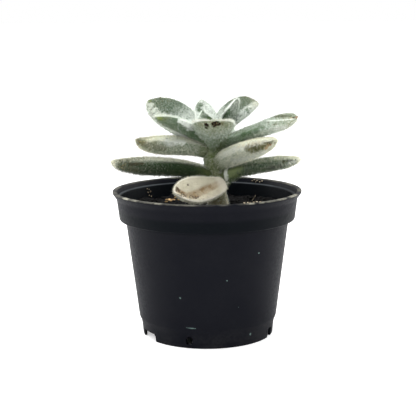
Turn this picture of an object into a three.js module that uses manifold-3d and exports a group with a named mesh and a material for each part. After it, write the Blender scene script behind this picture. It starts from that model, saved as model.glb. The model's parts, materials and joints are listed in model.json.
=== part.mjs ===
// Potted frosty echeveria: a velvety rosette on a leaning stem, in a black nursery pot.
// Millimetres, +Z up. The origin is the middle of the pot's underside, and -Y is the front.
import * as THREE from "three";
import { mergeVertices } from "three/addons/utils/BufferGeometryUtils.js";
import Module from "manifold-3d";

const wasm = await Module();
wasm.setup();

// Driving dimensions of the pot
const POT_HEIGHT = 77.1;
const LIP_RADIUS = 50;
const COLLAR_TOP_RADIUS = 47.9;
const COLLAR_FOOT_RADIUS = 46.5;
const COLLAR_FOOT_Z = 62;
const BODY_TOP_RADIUS = 43.3;
const STEP_Z = 10.1;
const STEP_RADIUS = 36.8;
const FOOT_TOP_Z = 7;
const FOOT_TOP_RADIUS = 35.5;
const FOOT_RADIUS = 34.8;
const FOOT_WALL = 1.3;
const WALL = 1;
const FLOOR_Z = 4.4;
const FLOOR_THICKNESS = 1.2;
const LEDGE_Z = 74;
const LEDGE_RADIUS = 46;
const LEDGE_FOOT_RADIUS = 45.4;
const LIP_BEAD = 1.35;
const COLLAR_ROUND = 0.7;
const POT_SEGMENTS = 48;

// Notches in the foot ring and drain slots through its corner, each three round the pot
const NOTCH_AZIMUTH = 218;
const NOTCH_WIDTH = 5.2;
const NOTCH_HEIGHT = 4;
const SLOT_AZIMUTH = 254;
const SLOT_WIDTH = 3.6;
const SLOT_LOW = 1.8;
const SLOT_HIGH = 6.3;
const SLOT_DEPTH = 2;
const REPEATS_ROUND = 3;

// Driving dimensions of the soil
const GAP = 0.3;
const SOIL_Z = 67.4;
const SOIL_LUMP = 0.6;
const SOIL_MOUND = 0.9;
const SOIL_MOUND_RADIUS = 14;
const SOIL_RING_SHARES = [1, 0.9, 0.78, 0.65, 0.52, 0.39, 0.27, 0.15];
const CHIP_COUNT = 26;
const CHIP_SEED = 11;
const CHIP_NEAREST = 10;
const CHIP_FURTHEST = 41;
const CHIP_HALF_LENGTHS = [1.2, 2.8];
const CHIP_HALF_WIDTHS = [0.9, 1.7];
const CHIP_HALF_HEIGHTS = [0.7, 1.2];

// Driving dimensions of the stem, whose axis leans to the left as it rises
const STEM_BOTTOM_Z = 58.3;
const STEM_TOP_Z = 103.5;
const STEM_TOP = [2.6, -0.5];
const STEM_LEAN = [3.6, 1];
const LEAN_TOP_Z = 104;
const LEAN_HEIGHT = 36;
const STEM_BASE_RADIUS = 5.7;
const STEM_MID_RADIUS = 5;
const STEM_TOP_RADIUS = 3.8;
const STEM_SIDES = 16;
const STEM_RING_HEIGHTS = [63, 68, 72, 76, 80, 85, 90, 95, 99, 101.5, STEM_TOP_Z];

// What a leaf has where its entry below doesn't say otherwise. Angles are degrees. A leaf leaves the
// stem's axis at `height`, heads for `azimuth` (0 is right, 90 is back), rises at `rise` at its base
// and at `level` further out, and its last quarter turns up by `tipUp`. `settle` is how soon it
// levels out. `broad` is how far out it is widest, and `neck` is how wide its base is beside that.
const LEAF = {
  rise: 30, level: 15, tipUp: 0, settle: 1.6, roll: 0, start: 2.5, aside: [0, 0],
  length: 40, width: 20, thick: 7.6, neck: 0.42, broad: 0.68, swell: 1.3, blunt: 0.6, round: 2.3,
  above: 0.34, cup: 0.8,
};

const LEAVES = {
  leaf_low_left: {
    height: 84.5, azimuth: 189.5, rise: 25, level: 0.5, settle: 2.8, tipUp: 18,
    length: 53, width: 20.4, thick: 8.4, neck: 0.5,
  },
  leaf_low_right: {
    height: 82, azimuth: -1, rise: 31, level: 6, settle: 2.8, tipUp: 3,
    length: 44.5, width: 20, thick: 6.4,
  },
  leaf_mid_front_right: {
    height: 90.3, azimuth: -34.5, rise: 33.5, level: 16.5, settle: 2.7, roll: -1,
    length: 38.5, width: 19.3, thick: 9.6,
  },
  leaf_back: { height: 93, azimuth: 84, rise: 32, level: 14, length: 38, width: 19, thick: 7.5 },
  leaf_back_right: { height: 92.5, azimuth: 46, rise: 26, level: 14, length: 38, width: 18, thick: 7.5 },
  leaf_back_left: { height: 94.5, azimuth: 128, rise: 44, level: 28, length: 34, width: 18, thick: 7.5 },
  leaf_mid_left: {
    height: 97, azimuth: 176, rise: 30, level: 0, settle: 4.4, tipUp: 29,
    length: 39, width: 20, thick: 9.3, neck: 0.5,
  },
  leaf_mid_right: {
    height: 100, azimuth: -6.5, rise: 24.5, level: 15.5, settle: 2, tipUp: 10, roll: 13.5,
    length: 45, width: 20.2, thick: 6.2,
  },
  leaf_upper_front_left: {
    height: 101.5, azimuth: 207, rise: 44, level: 14, settle: 1.8, tipUp: -5,
    length: 33.7, width: 19.8, thick: 7.4,
  },
  leaf_upper_front: {
    height: 99, azimuth: -88, rise: 53.5, level: 17.5,
    length: 30.5, width: 21.8, thick: 7.8, neck: 0.24, broad: 0.74, blunt: 0.5, swell: 1.4,
  },
  leaf_upper_back_left: {
    height: 99.6, azimuth: 152, rise: 39, level: 26, roll: -25.5,
    length: 42.7, width: 21.5, thick: 7.5, broad: 0.6, blunt: 0.65,
  },
  leaf_upper_back_right: {
    height: 102.6, azimuth: 38, rise: 55.5, level: 20, roll: 17, tipUp: -35,
    length: 35.5, width: 16.5, thick: 5.9, broad: 0.6, blunt: 0.5,
  },
  leaf_inner_back: {
    height: 100.4, azimuth: 107, rise: 57.5, level: 45,
    length: 27.5, width: 12.2, thick: 5, broad: 0.5, blunt: 0.8,
  },
  leaf_inner_right: {
    height: 103, azimuth: 12, rise: 43, level: 66.5, roll: -40, start: 0,
    length: 27, width: 13, thick: 4.5, neck: 0.38, broad: 0.55, round: 1.7, blunt: 0.85,
  },
  leaf_inner_front: {
    height: 103.7, azimuth: -115.5, rise: 64, level: 54.5, start: 0,
    length: 19.5, width: 10.6, thick: 3.6, neck: 0.5, broad: 0.49, round: 1.6, blunt: 0.9,
  },
  leaf_withered: {
    height: 81, azimuth: 210, rise: -15.5, level: 7, roll: -58, start: 0, aside: [3, -8],
    length: 28.5, width: 14, thick: 7.2, neck: 0.6, broad: 0.55, blunt: 0.7,
  },
};

// How a leaf's thickness swells and fades along it, and how its section is rounded
const DEPTH = { neck: 0.8, broad: 0.45, swell: 1, round: 2.6, blunt: 0.6 };
const EDGE_FULLNESS = 0.92;
const BELLY_FULLNESS = 0.9;

// The young leaves of the heart, each a golden angle on from the last. The lists give the value of
// the youngest and the oldest leaf.
const GOLDEN_ANGLE = 137.5;
const HEART_LEAVES = 6;
const HEART_CORE_RADIUS = 2.1;
const HEART_CORE_TOP = 107;
const HEART_CORE_SIDES = 10;
const HEART_AZIMUTH = 30;
const HEART_STEP = 1.8;
const BUD = { start: 0.6, neck: 0.7, broad: 0.45, round: 1.7, blunt: 0.85, above: 0.4, cup: 0.5 };
const BUD_RISE = [80, 68];
const BUD_LEVEL = [84, 62];
const BUD_LENGTH = [5, 9];
const BUD_WIDTH = [4, 6];
const BUD_THICK = [2, 2.4];

// How finely the leaves are cut into triangles
const LEAF_RINGS = 13;
const LEAF_SIDES = 12;
const BUD_RINGS = 6;
const BUD_SIDES = 8;
const PATH_STEPS = 60;
const TIP_CROWDING = 1.25;

const degrees = (angle) => (angle * Math.PI) / 180;
const clamp = (value) => Math.min(1, Math.max(0, value));

// Solids and geometries

function toSolid(geometry) {
  const bare = geometry.clone();
  bare.deleteAttribute("normal");
  bare.deleteAttribute("uv");
  const merged = mergeVertices(bare, 1e-4);
  return new wasm.Manifold(new wasm.Mesh({
    numProp: 3,
    vertProperties: new Float32Array(merged.attributes.position.array),
    triVerts: new Uint32Array(merged.index.array),
  }));
}

function toGeometry(solid) {
  const { vertProperties, triVerts } = solid.getMesh();
  const geometry = new THREE.BufferGeometry();
  geometry.setAttribute("position", new THREE.BufferAttribute(vertProperties, 3));
  geometry.setIndex(new THREE.BufferAttribute(triVerts, 1));
  return geometry;
}

function middleOf(points) {
  const sum = points.reduce((total, point) => total.add(point), new THREE.Vector3());
  return sum.divideScalar(points.length);
}

// A closed skin over rings of points, with a fan to the point `foot` at its start and `tip` at its end
function ringSkin(rings, foot = middleOf(rings[0]), tip = middleOf(rings[rings.length - 1])) {
  const sides = rings[0].length;
  const last = (rings.length - 1) * sides;
  const positions = [...rings.flat(), foot, tip].flatMap((point) => point.toArray());
  const index = [];
  for (let side = 0; side < sides; side += 1) {
    const next = (side + 1) % sides;
    for (let start = 0; start < last; start += sides) {
      index.push(start + side, start + next, start + sides + next);
      index.push(start + side, start + sides + next, start + sides + side);
    }
    index.push(last + sides, next, side);
    index.push(last + sides + 1, last + side, last + next);
  }
  const geometry = new THREE.BufferGeometry();
  geometry.setAttribute("position", new THREE.Float32BufferAttribute(positions, 3));
  geometry.setIndex(index);
  return geometry;
}

// Turns a profile of [radius, height] pairs round the Z axis
function turned(profile, segments) {
  const points = profile.map(([radius, height]) => new THREE.Vector2(radius, height));
  return new THREE.LatheGeometry(points, segments).rotateX(Math.PI / 2);
}

// The largest body of a solid, without any loose scrap that a cut left
function largestBody(solid) {
  const bodies = solid.decompose();
  return bodies.reduce((best, body) => (body.volume() > best.volume() ? body : best));
}

// Pot

function innerRadius(z) {
  const low = STEP_RADIUS - WALL;
  const high = BODY_TOP_RADIUS - WALL;
  return low + ((high - low) * (z - STEP_Z)) / (COLLAR_FOOT_Z - STEP_Z);
}

// The round bead of the lip, from under its outer edge over the top to its inner side
function lipProfile() {
  const angles = [-120, -60, 0, 45, 90, 135, 180].map(degrees);
  return angles.map((angle) => [
    LIP_RADIUS - LIP_BEAD + LIP_BEAD * Math.cos(angle),
    POT_HEIGHT - LIP_BEAD + LIP_BEAD * Math.sin(angle),
  ]);
}

function potProfile() {
  const footInner = FOOT_RADIUS - FOOT_WALL;
  const floorTop = FLOOR_Z + FLOOR_THICKNESS;
  const shoulder = COLLAR_FOOT_Z + WALL;
  return [
    [0, FLOOR_Z],
    [footInner, FLOOR_Z],
    [footInner, 0],
    [FOOT_RADIUS, 0],
    [FOOT_TOP_RADIUS, FOOT_TOP_Z],
    [STEP_RADIUS, STEP_Z],
    [BODY_TOP_RADIUS, COLLAR_FOOT_Z],
    [COLLAR_FOOT_RADIUS - COLLAR_ROUND, COLLAR_FOOT_Z],
    [COLLAR_FOOT_RADIUS, COLLAR_FOOT_Z + COLLAR_ROUND],
    [COLLAR_TOP_RADIUS, LEDGE_Z],
    ...lipProfile(),
    [LEDGE_RADIUS + 1, LEDGE_Z + 0.4],
    [LEDGE_RADIUS, LEDGE_Z],
    [LEDGE_FOOT_RADIUS, shoulder],
    [innerRadius(shoulder), shoulder],
    [innerRadius(STEP_Z), STEP_Z],
    [FOOT_TOP_RADIUS - WALL, FOOT_TOP_Z],
    [footInner, floorTop],
    [0, floorTop],
  ];
}

// A box that reaches out through the foot ring at an azimuth, between two heights
function footCutter(azimuth, width, low, high) {
  const inner = FOOT_RADIUS - FOOT_WALL - SLOT_DEPTH;
  const reach = FOOT_TOP_RADIUS + SLOT_DEPTH - inner;
  const box = new THREE.BoxGeometry(reach, width, high - low);
  box.translate(inner + reach / 2, 0, (low + high) / 2);
  return toSolid(box.rotateZ(degrees(azimuth)));
}

function pot() {
  let solid = toSolid(turned(potProfile(), POT_SEGMENTS));
  for (let index = 0; index < REPEATS_ROUND; index += 1) {
    const turn = (360 / REPEATS_ROUND) * index;
    solid = solid.subtract(footCutter(NOTCH_AZIMUTH + turn, NOTCH_WIDTH, -1, NOTCH_HEIGHT));
    solid = solid.subtract(footCutter(SLOT_AZIMUTH + turn, SLOT_WIDTH, SLOT_LOW, SLOT_HIGH));
  }
  return solid;
}

// Soil

// Seeded draws, so that each build is the same
function seededDraws(seed) {
  let state = seed;
  return () => {
    state = (state * 16807) % 2147483647;
    return state / 2147483647;
  };
}

function soilHeight(x, y) {
  const fromStem = Math.hypot(x - stemAxis(SOIL_Z).x, y);
  const lumps = Math.sin(x * 0.42 + 1) * Math.cos(y * 0.37) + 0.6 * Math.sin(x * 0.83 - y * 0.71);
  const mound = Math.exp(-((fromStem / SOIL_MOUND_RADIUS) ** 2));
  return SOIL_Z + SOIL_LUMP * lumps + SOIL_MOUND * mound;
}

// The soil fills the pot up to its uneven top
function soilBody() {
  const shoulder = COLLAR_FOOT_Z + WALL;
  const wall = [
    [FOOT_RADIUS - FOOT_WALL - GAP, FLOOR_Z + FLOOR_THICKNESS + GAP],
    [FOOT_TOP_RADIUS - WALL - GAP, FOOT_TOP_Z + GAP],
    [innerRadius(STEP_Z) - GAP, STEP_Z + GAP],
    [innerRadius(shoulder) - GAP, shoulder + GAP],
    [LEDGE_FOOT_RADIUS - GAP, shoulder + GAP],
  ];
  const ring = (radius, height) => Array.from({ length: POT_SEGMENTS }, (_, side) => {
    const angle = (2 * Math.PI * side) / POT_SEGMENTS;
    const x = radius * Math.cos(angle);
    const y = radius * Math.sin(angle);
    return new THREE.Vector3(x, y, height ?? soilHeight(x, y));
  });
  const rings = wall.map(([radius, height]) => ring(radius, height));
  const top = SOIL_RING_SHARES.map((share) => ring(share * (LEDGE_FOOT_RADIUS - GAP)));
  return toSolid(ringSkin([...rings, ...top]));
}

// Bark chips and grains, sunk about half way into the surface
function soilChips() {
  const draw = seededDraws(CHIP_SEED);
  const between = ([low, high]) => low + (high - low) * draw();
  const chips = [];
  while (chips.length < CHIP_COUNT) {
    const angle = 2 * Math.PI * draw();
    const distance = CHIP_NEAREST + (CHIP_FURTHEST - CHIP_NEAREST) * Math.sqrt(draw());
    const x = distance * Math.cos(angle);
    const y = distance * Math.sin(angle);
    const chip = new THREE.IcosahedronGeometry(1, 0);
    chip.scale(between(CHIP_HALF_LENGTHS), between(CHIP_HALF_WIDTHS), between(CHIP_HALF_HEIGHTS));
    chip.rotateX(0.5 * draw()).rotateZ(2 * Math.PI * draw());
    chips.push(toSolid(chip.translate(x, y, soilHeight(x, y))));
  }
  return chips;
}

function soil() {
  const filled = soilChips().reduce((body, chip) => body.add(chip), soilBody());
  return filled.subtract(stem(GAP));
}

// Stem

function stemAxis(z) {
  const down = Math.max(0, (LEAN_TOP_Z - z) / LEAN_HEIGHT);
  const x = STEM_TOP[0] + STEM_LEAN[0] * down ** 1.6;
  return new THREE.Vector3(x, STEM_TOP[1] + STEM_LEAN[1] * down, z);
}

function stemRadius(z) {
  const up = clamp((z - SOIL_Z) / (STEM_TOP_Z - SOIL_Z));
  const flare = (STEM_BASE_RADIUS - STEM_MID_RADIUS) * Math.exp(-5 * up);
  const taper = (STEM_MID_RADIUS - STEM_TOP_RADIUS) * clamp(2 * up - 1) ** 2;
  return STEM_MID_RADIUS + flare - taper;
}

// The stem, or with a clearance the room that it takes up
function stem(clearance = 0) {
  const ring = (z, radius) => Array.from({ length: STEM_SIDES }, (_, side) => {
    const angle = (2 * Math.PI * side) / STEM_SIDES;
    return new THREE.Vector3(radius * Math.cos(angle), radius * Math.sin(angle), 0).add(stemAxis(z));
  });
  const rings = STEM_RING_HEIGHTS.map((z) => ring(z, stemRadius(z) + clearance));
  const bottom = ring(STEM_BOTTOM_Z - clearance, STEM_BASE_RADIUS + clearance);
  const top = ring(STEM_TOP_Z + clearance, STEM_TOP_RADIUS + clearance);
  return toSolid(ringSkin([bottom, ...rings, ...(clearance ? [top] : [])]));
}

// Leaves

// The direction of a leaf's midrib at a share of its length
function leafHeading(leaf, share) {
  const tip = clamp((share - 0.75) / 0.25) ** 2;
  const settling = (leaf.rise - leaf.level) * (1 - share) ** leaf.settle;
  const rise = degrees(leaf.level + settling + leaf.tipUp * tip);
  const azimuth = degrees(leaf.azimuth);
  const flat = Math.cos(rise);
  return new THREE.Vector3(flat * Math.cos(azimuth), flat * Math.sin(azimuth), Math.sin(rise));
}

// The midrib as a list of places, each with its sideways and upward directions
function leafPath(leaf) {
  const azimuth = degrees(leaf.azimuth);
  const roll = degrees(leaf.roll);
  const level = new THREE.Vector3(-Math.sin(azimuth), Math.cos(azimuth), 0);
  const place = stemAxis(leaf.height).add(new THREE.Vector3(...leaf.aside, 0));
  place.addScaledVector(leafHeading(leaf, 0), leaf.start);
  const path = [];
  for (let step = 0; step <= PATH_STEPS; step += 1) {
    if (step > 0) {
      place.addScaledVector(leafHeading(leaf, (step - 0.5) / PATH_STEPS), leaf.length / PATH_STEPS);
    }
    const along = leafHeading(leaf, step / PATH_STEPS);
    const side = level.clone().applyAxisAngle(along, roll);
    path.push({ place: place.clone(), side, up: along.clone().cross(side) });
  }
  return path;
}

// The share of its full size that a shape has at a share of its length
function swelling(share, shape) {
  if (share < shape.broad) {
    const growth = Math.sin((Math.PI / 2) * (share / shape.broad)) ** shape.swell;
    return shape.neck + (1 - shape.neck) * growth;
  }
  return (1 - ((share - shape.broad) / (1 - shape.broad)) ** shape.round) ** shape.blunt;
}

// One ring of a leaf's skin, round a place on its midrib
function leafRing(leaf, { place, side, up }, share, clearance, sides) {
  const spread = swelling(share, leaf);
  const half = (leaf.width / 2) * spread + clearance;
  const thick = leaf.thick * swelling(share, DEPTH) + 2 * clearance;
  return Array.from({ length: sides }, (_, index) => {
    const angle = (2 * Math.PI * index) / sides;
    const across = Math.sign(Math.cos(angle)) * Math.abs(Math.cos(angle)) ** EDGE_FULLNESS;
    const bulge = Math.sign(Math.sin(angle)) * Math.abs(Math.sin(angle)) ** BELLY_FULLNESS;
    const depth = bulge > 0 ? leaf.above : 1 - leaf.above;
    const lift = thick * bulge * depth + leaf.cup * spread * across ** 2;
    return place.clone().addScaledVector(side, half * across).addScaledVector(up, lift);
  });
}

// One leaf, or with a clearance the room that it takes up
function leafSolid(leaf, clearance = 0, ringCount = LEAF_RINGS, sides = LEAF_SIDES) {
  const start = leaf.start - clearance;
  const path = leafPath({ ...leaf, start, length: leaf.length + 2 * clearance });
  const rings = Array.from({ length: ringCount }, (_, ring) => {
    const step = Math.round(PATH_STEPS * (1 - (1 - ring / ringCount) ** TIP_CROWDING));
    return leafRing(leaf, path[step], step / PATH_STEPS, clearance, sides);
  });
  return toSolid(ringSkin(rings, path[0].place, path[PATH_STEPS].place));
}

// The bud of young leaves that stands on the stem's top, or with a clearance the room that it takes up
function heart(clearance = 0) {
  const foot = STEM_TOP_Z + GAP - clearance;
  const height = HEART_CORE_TOP + clearance - foot;
  const radius = HEART_CORE_RADIUS + clearance;
  const core = new THREE.CylinderGeometry(radius / 2, radius, height, HEART_CORE_SIDES);
  const centre = stemAxis(STEM_TOP_Z);
  core.rotateX(Math.PI / 2).translate(centre.x, centre.y, foot + height / 2);
  let solid = toSolid(core);
  for (let index = 0; index < HEART_LEAVES; index += 1) {
    const age = 1 - index / (HEART_LEAVES - 1);
    const aged = ([young, old]) => young + (old - young) * age;
    const leaf = {
      ...LEAF,
      ...BUD,
      height: STEM_TOP_Z + GAP + HEART_STEP - age,
      azimuth: HEART_AZIMUTH + GOLDEN_ANGLE * index,
      rise: aged(BUD_RISE),
      level: aged(BUD_LEVEL),
      length: aged(BUD_LENGTH),
      width: aged(BUD_WIDTH),
      thick: aged(BUD_THICK),
    };
    solid = solid.add(leafSolid(leaf, clearance, BUD_RINGS, BUD_SIDES));
  }
  return solid;
}

// Assembly

const FINISHES = {
  pot: { color: 0x23242a, roughness: 0.55, metalness: 0 },
  soil: { color: 0x2b211a, roughness: 0.95, metalness: 0 },
  stem: { color: 0x7f8c5a, roughness: 0.85, metalness: 0 },
  leaf: { color: 0xa9b9a4, roughness: 0.9, metalness: 0 },
  withered: { color: 0xcfc6ad, roughness: 0.9, metalness: 0 },
};

function piece(name, solid, finish) {
  const mesh = new THREE.Mesh(toGeometry(solid), new THREE.MeshStandardMaterial(FINISHES[finish]));
  mesh.name = name;
  return mesh;
}

const plant = new THREE.Group();
plant.add(piece("pot", pot(), "pot"));
plant.add(piece("soil", soil(), "soil"));
plant.add(piece("stem", stem(), "stem"));

// What grows from the stem, in the order in which it takes its room
const growth = [{ name: "heart", finish: "leaf", grow: heart }];
for (const [name, entry] of Object.entries(LEAVES)) {
  const finish = name === "leaf_withered" ? "withered" : "leaf";
  growth.push({ name, finish, grow: (clearance) => leafSolid({ ...LEAF, ...entry }, clearance) });
}

// Each of them ends just clear of the stem and of those before it
const taken = [stem(GAP)];
for (const { name, finish, grow } of growth) {
  const trimmed = taken.reduce((body, room) => body.subtract(room), grow(0));
  plant.add(piece(name, largestBody(trimmed), finish));
  taken.push(grow(GAP));
}

export default plant;
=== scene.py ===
# %% [markdown]
# # A potted frosty echeveria
# This lesson dresses a small velvety succulent in its black nursery pot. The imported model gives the
# frame: where each leaf sits and how big the pot is. Everything here is built around it, with +Z up and
# the front of the plant towards -Y. Sizes are in millimetres, and each mesh is brought to metres when it
# is made.

import json
import math

import bmesh
import bpy
import numpy as np
from mathutils import Matrix, Vector, noise

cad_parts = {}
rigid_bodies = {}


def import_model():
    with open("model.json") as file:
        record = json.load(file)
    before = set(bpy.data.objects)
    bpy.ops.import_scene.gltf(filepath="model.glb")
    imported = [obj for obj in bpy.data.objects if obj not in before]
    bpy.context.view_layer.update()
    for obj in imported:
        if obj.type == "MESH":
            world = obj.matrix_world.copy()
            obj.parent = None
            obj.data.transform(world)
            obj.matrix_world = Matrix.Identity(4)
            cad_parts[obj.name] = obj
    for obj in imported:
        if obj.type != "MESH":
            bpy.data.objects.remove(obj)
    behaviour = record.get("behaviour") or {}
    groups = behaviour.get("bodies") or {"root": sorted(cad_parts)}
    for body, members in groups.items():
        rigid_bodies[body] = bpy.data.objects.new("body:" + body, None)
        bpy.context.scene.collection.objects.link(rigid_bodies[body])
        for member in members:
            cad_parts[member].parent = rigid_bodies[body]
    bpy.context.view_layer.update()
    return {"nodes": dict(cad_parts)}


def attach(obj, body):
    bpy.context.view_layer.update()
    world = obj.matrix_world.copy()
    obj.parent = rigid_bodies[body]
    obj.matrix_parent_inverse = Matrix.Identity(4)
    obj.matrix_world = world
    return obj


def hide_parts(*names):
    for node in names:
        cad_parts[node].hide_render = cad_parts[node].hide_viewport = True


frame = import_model()
MM = 0.001
print("nodes in the frame:", len(frame["nodes"]))

# %% [markdown]
# ## The camera
# A photographer stands a little above a small plant and uses a long lens, so that the pot's sides stay
# nearly straight. The camera's place, tilt and lens were worked out from the ellipses of the pot's lip,
# collar and foot. The small roll is the photographer's own.

# %% The camera
CAMERA_PLACE = Vector((0.45, -560, 165.4)) * MM
CAMERA_DOWN = 9.96
CAMERA_ROLL = -0.39
VIEW_ANGLE = 22.02


def in_scene(name, data):
    """A new object in the scene, which holds a camera, a light or a mesh."""
    thing = bpy.data.objects.new(name, data)
    bpy.context.scene.collection.objects.link(thing)
    return thing


camera_data = bpy.data.cameras.new("camera")
camera_data.sensor_width = 36
camera_data.lens = camera_data.sensor_width / 2 / math.tan(math.radians(VIEW_ANGLE / 2))
camera = in_scene("camera", camera_data)
tilt = Matrix.Rotation(math.radians(90 - CAMERA_DOWN), 4, "X")
roll = Matrix.Rotation(math.radians(CAMERA_ROLL), 4, "Z")
camera.matrix_world = Matrix.Translation(CAMERA_PLACE) @ tilt @ roll
bpy.context.scene.camera = camera
print("lens", round(camera_data.lens, 1), "mm")

# %% [markdown]
# ## Shader helpers
# The studio's light and every material here are small networks of nodes. `add` places one node and fills
# its inputs, either with a value or with another node's output. The sums, fades and mixtures after it
# are the ones that come back all the time.


# %% Shader helpers
def add(tree, kind, inputs=None, **settings):
    """Places a node of a kind in a node tree, and fills its inputs by name or by number."""
    node = tree.nodes.new("ShaderNode" + kind)
    for key, value in settings.items():
        setattr(node, key, value)
    for key, value in (inputs or {}).items():
        if isinstance(value, bpy.types.NodeSocket):
            tree.links.new(value, node.inputs[key])
        else:
            node.inputs[key].default_value = value
    return node


def maths(tree, operation, first, second=0.0, clamp=False):
    """One sum on numbers or outputs."""
    node = add(tree, "Math", {0: first, 1: second}, operation=operation, use_clamp=clamp)
    return node.outputs[0]


def times(tree, first, second, clamp=False):
    """One number or output times another."""
    return maths(tree, "MULTIPLY", first, second, clamp)


def plus(tree, first, second, clamp=False):
    """One number or output plus another."""
    return maths(tree, "ADD", first, second, clamp)


def less(tree, first, second):
    """One number or output less another."""
    return maths(tree, "SUBTRACT", first, second)


def most(tree, first, *others):
    """The largest of several numbers or outputs."""
    for other in others:
        first = maths(tree, "MAXIMUM", first, other)
    return first


# %% Fades, colours and clouds
def fade(tree, value, start, end, low=0.0, high=1.0):
    """A smooth step of a value: low at start, high at end."""
    inputs = {"Value": value, "From Min": start, "From Max": end, "To Min": low, "To Max": high}
    return add(tree, "MapRange", inputs, interpolation_type="SMOOTHSTEP").outputs["Result"]


def mm_fade(tree, value, start, end, low=0.0, high=1.0):
    """A smooth step of a place in metres, from a start to an end in millimetres."""
    return fade(tree, value, start * MM, end * MM, low, high)


def blend(tree, share, first, second):
    """A colour between two colours."""
    colours = [(*c, 1) if isinstance(c, tuple) else c for c in (first, second)]
    return add(tree, "Mix", {0: share, 6: colours[0], 7: colours[1]}, data_type="RGBA").outputs[2]


def stain(tree, colour, mask, strength, shade):
    """A colour with a shade laid over it, as far as a mask and a strength say."""
    return blend(tree, times(tree, mask, strength), colour, shade)


def clouds(tree, place, scale, detail):
    """Smooth noise around a half. The scale is how many waves fit in a metre."""
    return add(tree, "TexNoise", {"Vector": place, "Scale": scale, "Detail": detail}).outputs["Fac"]


# %% [markdown]
# ## The studio
# The plant was shot on plain white with light from all round, so that almost no shadow is left. A bright
# world does most of that work, and its own light is a little weaker in front of the plant than behind
# it. One wide softbox overhead shapes the leaves, and one behind on each side draws the pale edges of the
# black pot. What the camera sees directly of the world is plain white.

# %% The studio
bpy.context.scene.view_settings.view_transform = "Standard"

FRONT_LIGHT = 0.85
BACK_LIGHT = 1.0
PLANT_MIDDLE = Vector((0, 0, 0.09))

world = bpy.data.worlds.new("white studio")
world.use_nodes = True
bpy.context.scene.world = world
sky = world.node_tree
backwards = add(sky, "SeparateXYZ", {0: add(sky, "TexCoord").outputs["Generated"]}).outputs["Y"]
span = {"Value": backwards, "From Min": -1, "To Min": FRONT_LIGHT, "To Max": BACK_LIGHT}
seen = add(sky, "LightPath").outputs["Is Camera Ray"]
glow = add(sky, "MapRange", span).outputs["Result"]
sky.links.new(most(sky, glow, seen), sky.nodes["Background"].inputs["Strength"])
sky.nodes["Background"].inputs["Color"].default_value = (1, 1, 1, 1)


def softbox(name, place, size, power):
    """A square area light at a place in metres, turned to face the plant."""
    light = bpy.data.lights.new(name, "AREA")
    light.shape = "SQUARE"
    light.size = size
    light.energy = power
    lamp = in_scene(name, light)
    lamp.location = place
    lamp.rotation_euler = (PLANT_MIDDLE - Vector(place)).to_track_quat("-Z", "Y").to_euler()
    lamp.visible_camera = False


softbox("top softbox", (-0.1, 0.05, 0.9), 0.7, 7)
softbox("left softbox", (-0.8, 0.35, 0.4), 0.5, 3)
softbox("right softbox", (0.8, 0.35, 0.4), 0.5, 3)
print("softboxes:", len(bpy.data.lights))

# %% [markdown]
# ## Effects that several materials share
# Three effects come back on the leaves, the pot and the soil. *Mottle* is slow variation, such as uneven
# dust or frost. *Specks* are scattered small dots, such as brown freckles or grains. A *ragged patch* is
# one blemish at one place, such as a scar on a leaf or a fleck of lime on the pot. Each is a shader
# group with named sockets, so that it is built once and every material only gives it its numbers.

# %% Start a shader group
SOCKETS = {float: "NodeSocketFloat", tuple: "NodeSocketVector"}
NOWHERE = (0.0, 0.0, 0.0)


def shader_group(name, inputs, output):
    """A shader group with named inputs and one output. Gives the tree and its two end nodes."""
    tree = bpy.data.node_groups.new(name, "ShaderNodeTree")
    for label, value in inputs.items():
        socket = tree.interface.new_socket(label, in_out="INPUT", socket_type=SOCKETS[type(value)])
        socket.default_value = value
    tree.interface.new_socket(output, in_out="OUTPUT", socket_type="NodeSocketFloat")
    return tree, tree.nodes.new("NodeGroupInput").outputs, tree.nodes.new("NodeGroupOutput").inputs


def use(tree, group, inputs):
    """Places a group in a node tree and gives its output."""
    return add(tree, "Group", inputs, node_tree=group).outputs[0]


# %% Mottle
mottle, given, result = shader_group("mottle", {"Place": NOWHERE, "Scale": 100.0, "Detail": 3.0}, "Value")
cloud = clouds(mottle, given["Place"], given["Scale"], given["Detail"])
mottle.links.new(fade(mottle, cloud, 0.3, 0.7), result["Value"])


def mottled(tree, place, scale, detail):
    """Slow variation from 0 to 1."""
    return use(tree, mottle, {"Place": place, "Scale": scale, "Detail": detail})


# %% Specks
specks, given, result = shader_group("specks", {"Place": NOWHERE, "Scale": 1000.0, "Share": 0.3}, "Mask")
cells = add(specks, "TexVoronoi", {"Vector": given["Place"], "Scale": given["Scale"]})
luck = add(specks, "SeparateColor", {"Color": cells.outputs["Color"]}).outputs["Red"]
lucky = fade(specks, less(specks, given["Share"], luck), 0.0, 0.05)
close = fade(specks, cells.outputs["Distance"], 0.5, 0.25)
specks.links.new(times(specks, lucky, close), result["Mask"])


def dotted(tree, place, scale, share):
    """Small dots, in a share of the cells that they could stand in."""
    return use(tree, specks, {"Place": place, "Scale": scale, "Share": share})


# %% Ragged patch
PATCH_BORDER = 0.85

patch, given, result = shader_group(
    "ragged patch",
    {"Place": NOWHERE, "Middle": NOWHERE, "Radius": 0.001, "Ragged": 0.4, "Soft": 0.3},
    "Mask",
)
wobble = clouds(patch, given["Place"], 900.0, 3.0)
away = add(patch, "VectorMath", {0: given["Place"], 1: given["Middle"]}, operation="DISTANCE")
reach = maths(patch, "DIVIDE", away.outputs["Value"], given["Radius"])
ragged = times(patch, less(patch, wobble, 0.5), times(patch, given["Ragged"], 4.0))
outside = plus(patch, given["Soft"], PATCH_BORDER)
inside = less(patch, PATCH_BORDER, given["Soft"])
patch.links.new(fade(patch, plus(patch, reach, ragged), outside, inside), result["Mask"])


def patched(tree, place, middle, radius, ragged, soft=0.3):
    """One ragged patch, its middle and its radius in millimetres."""
    middle = tuple(np.array(middle) * MM)
    sockets = {"Place": place, "Middle": middle, "Radius": radius * MM, "Ragged": ragged, "Soft": soft}
    return use(tree, patch, sockets)


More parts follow.
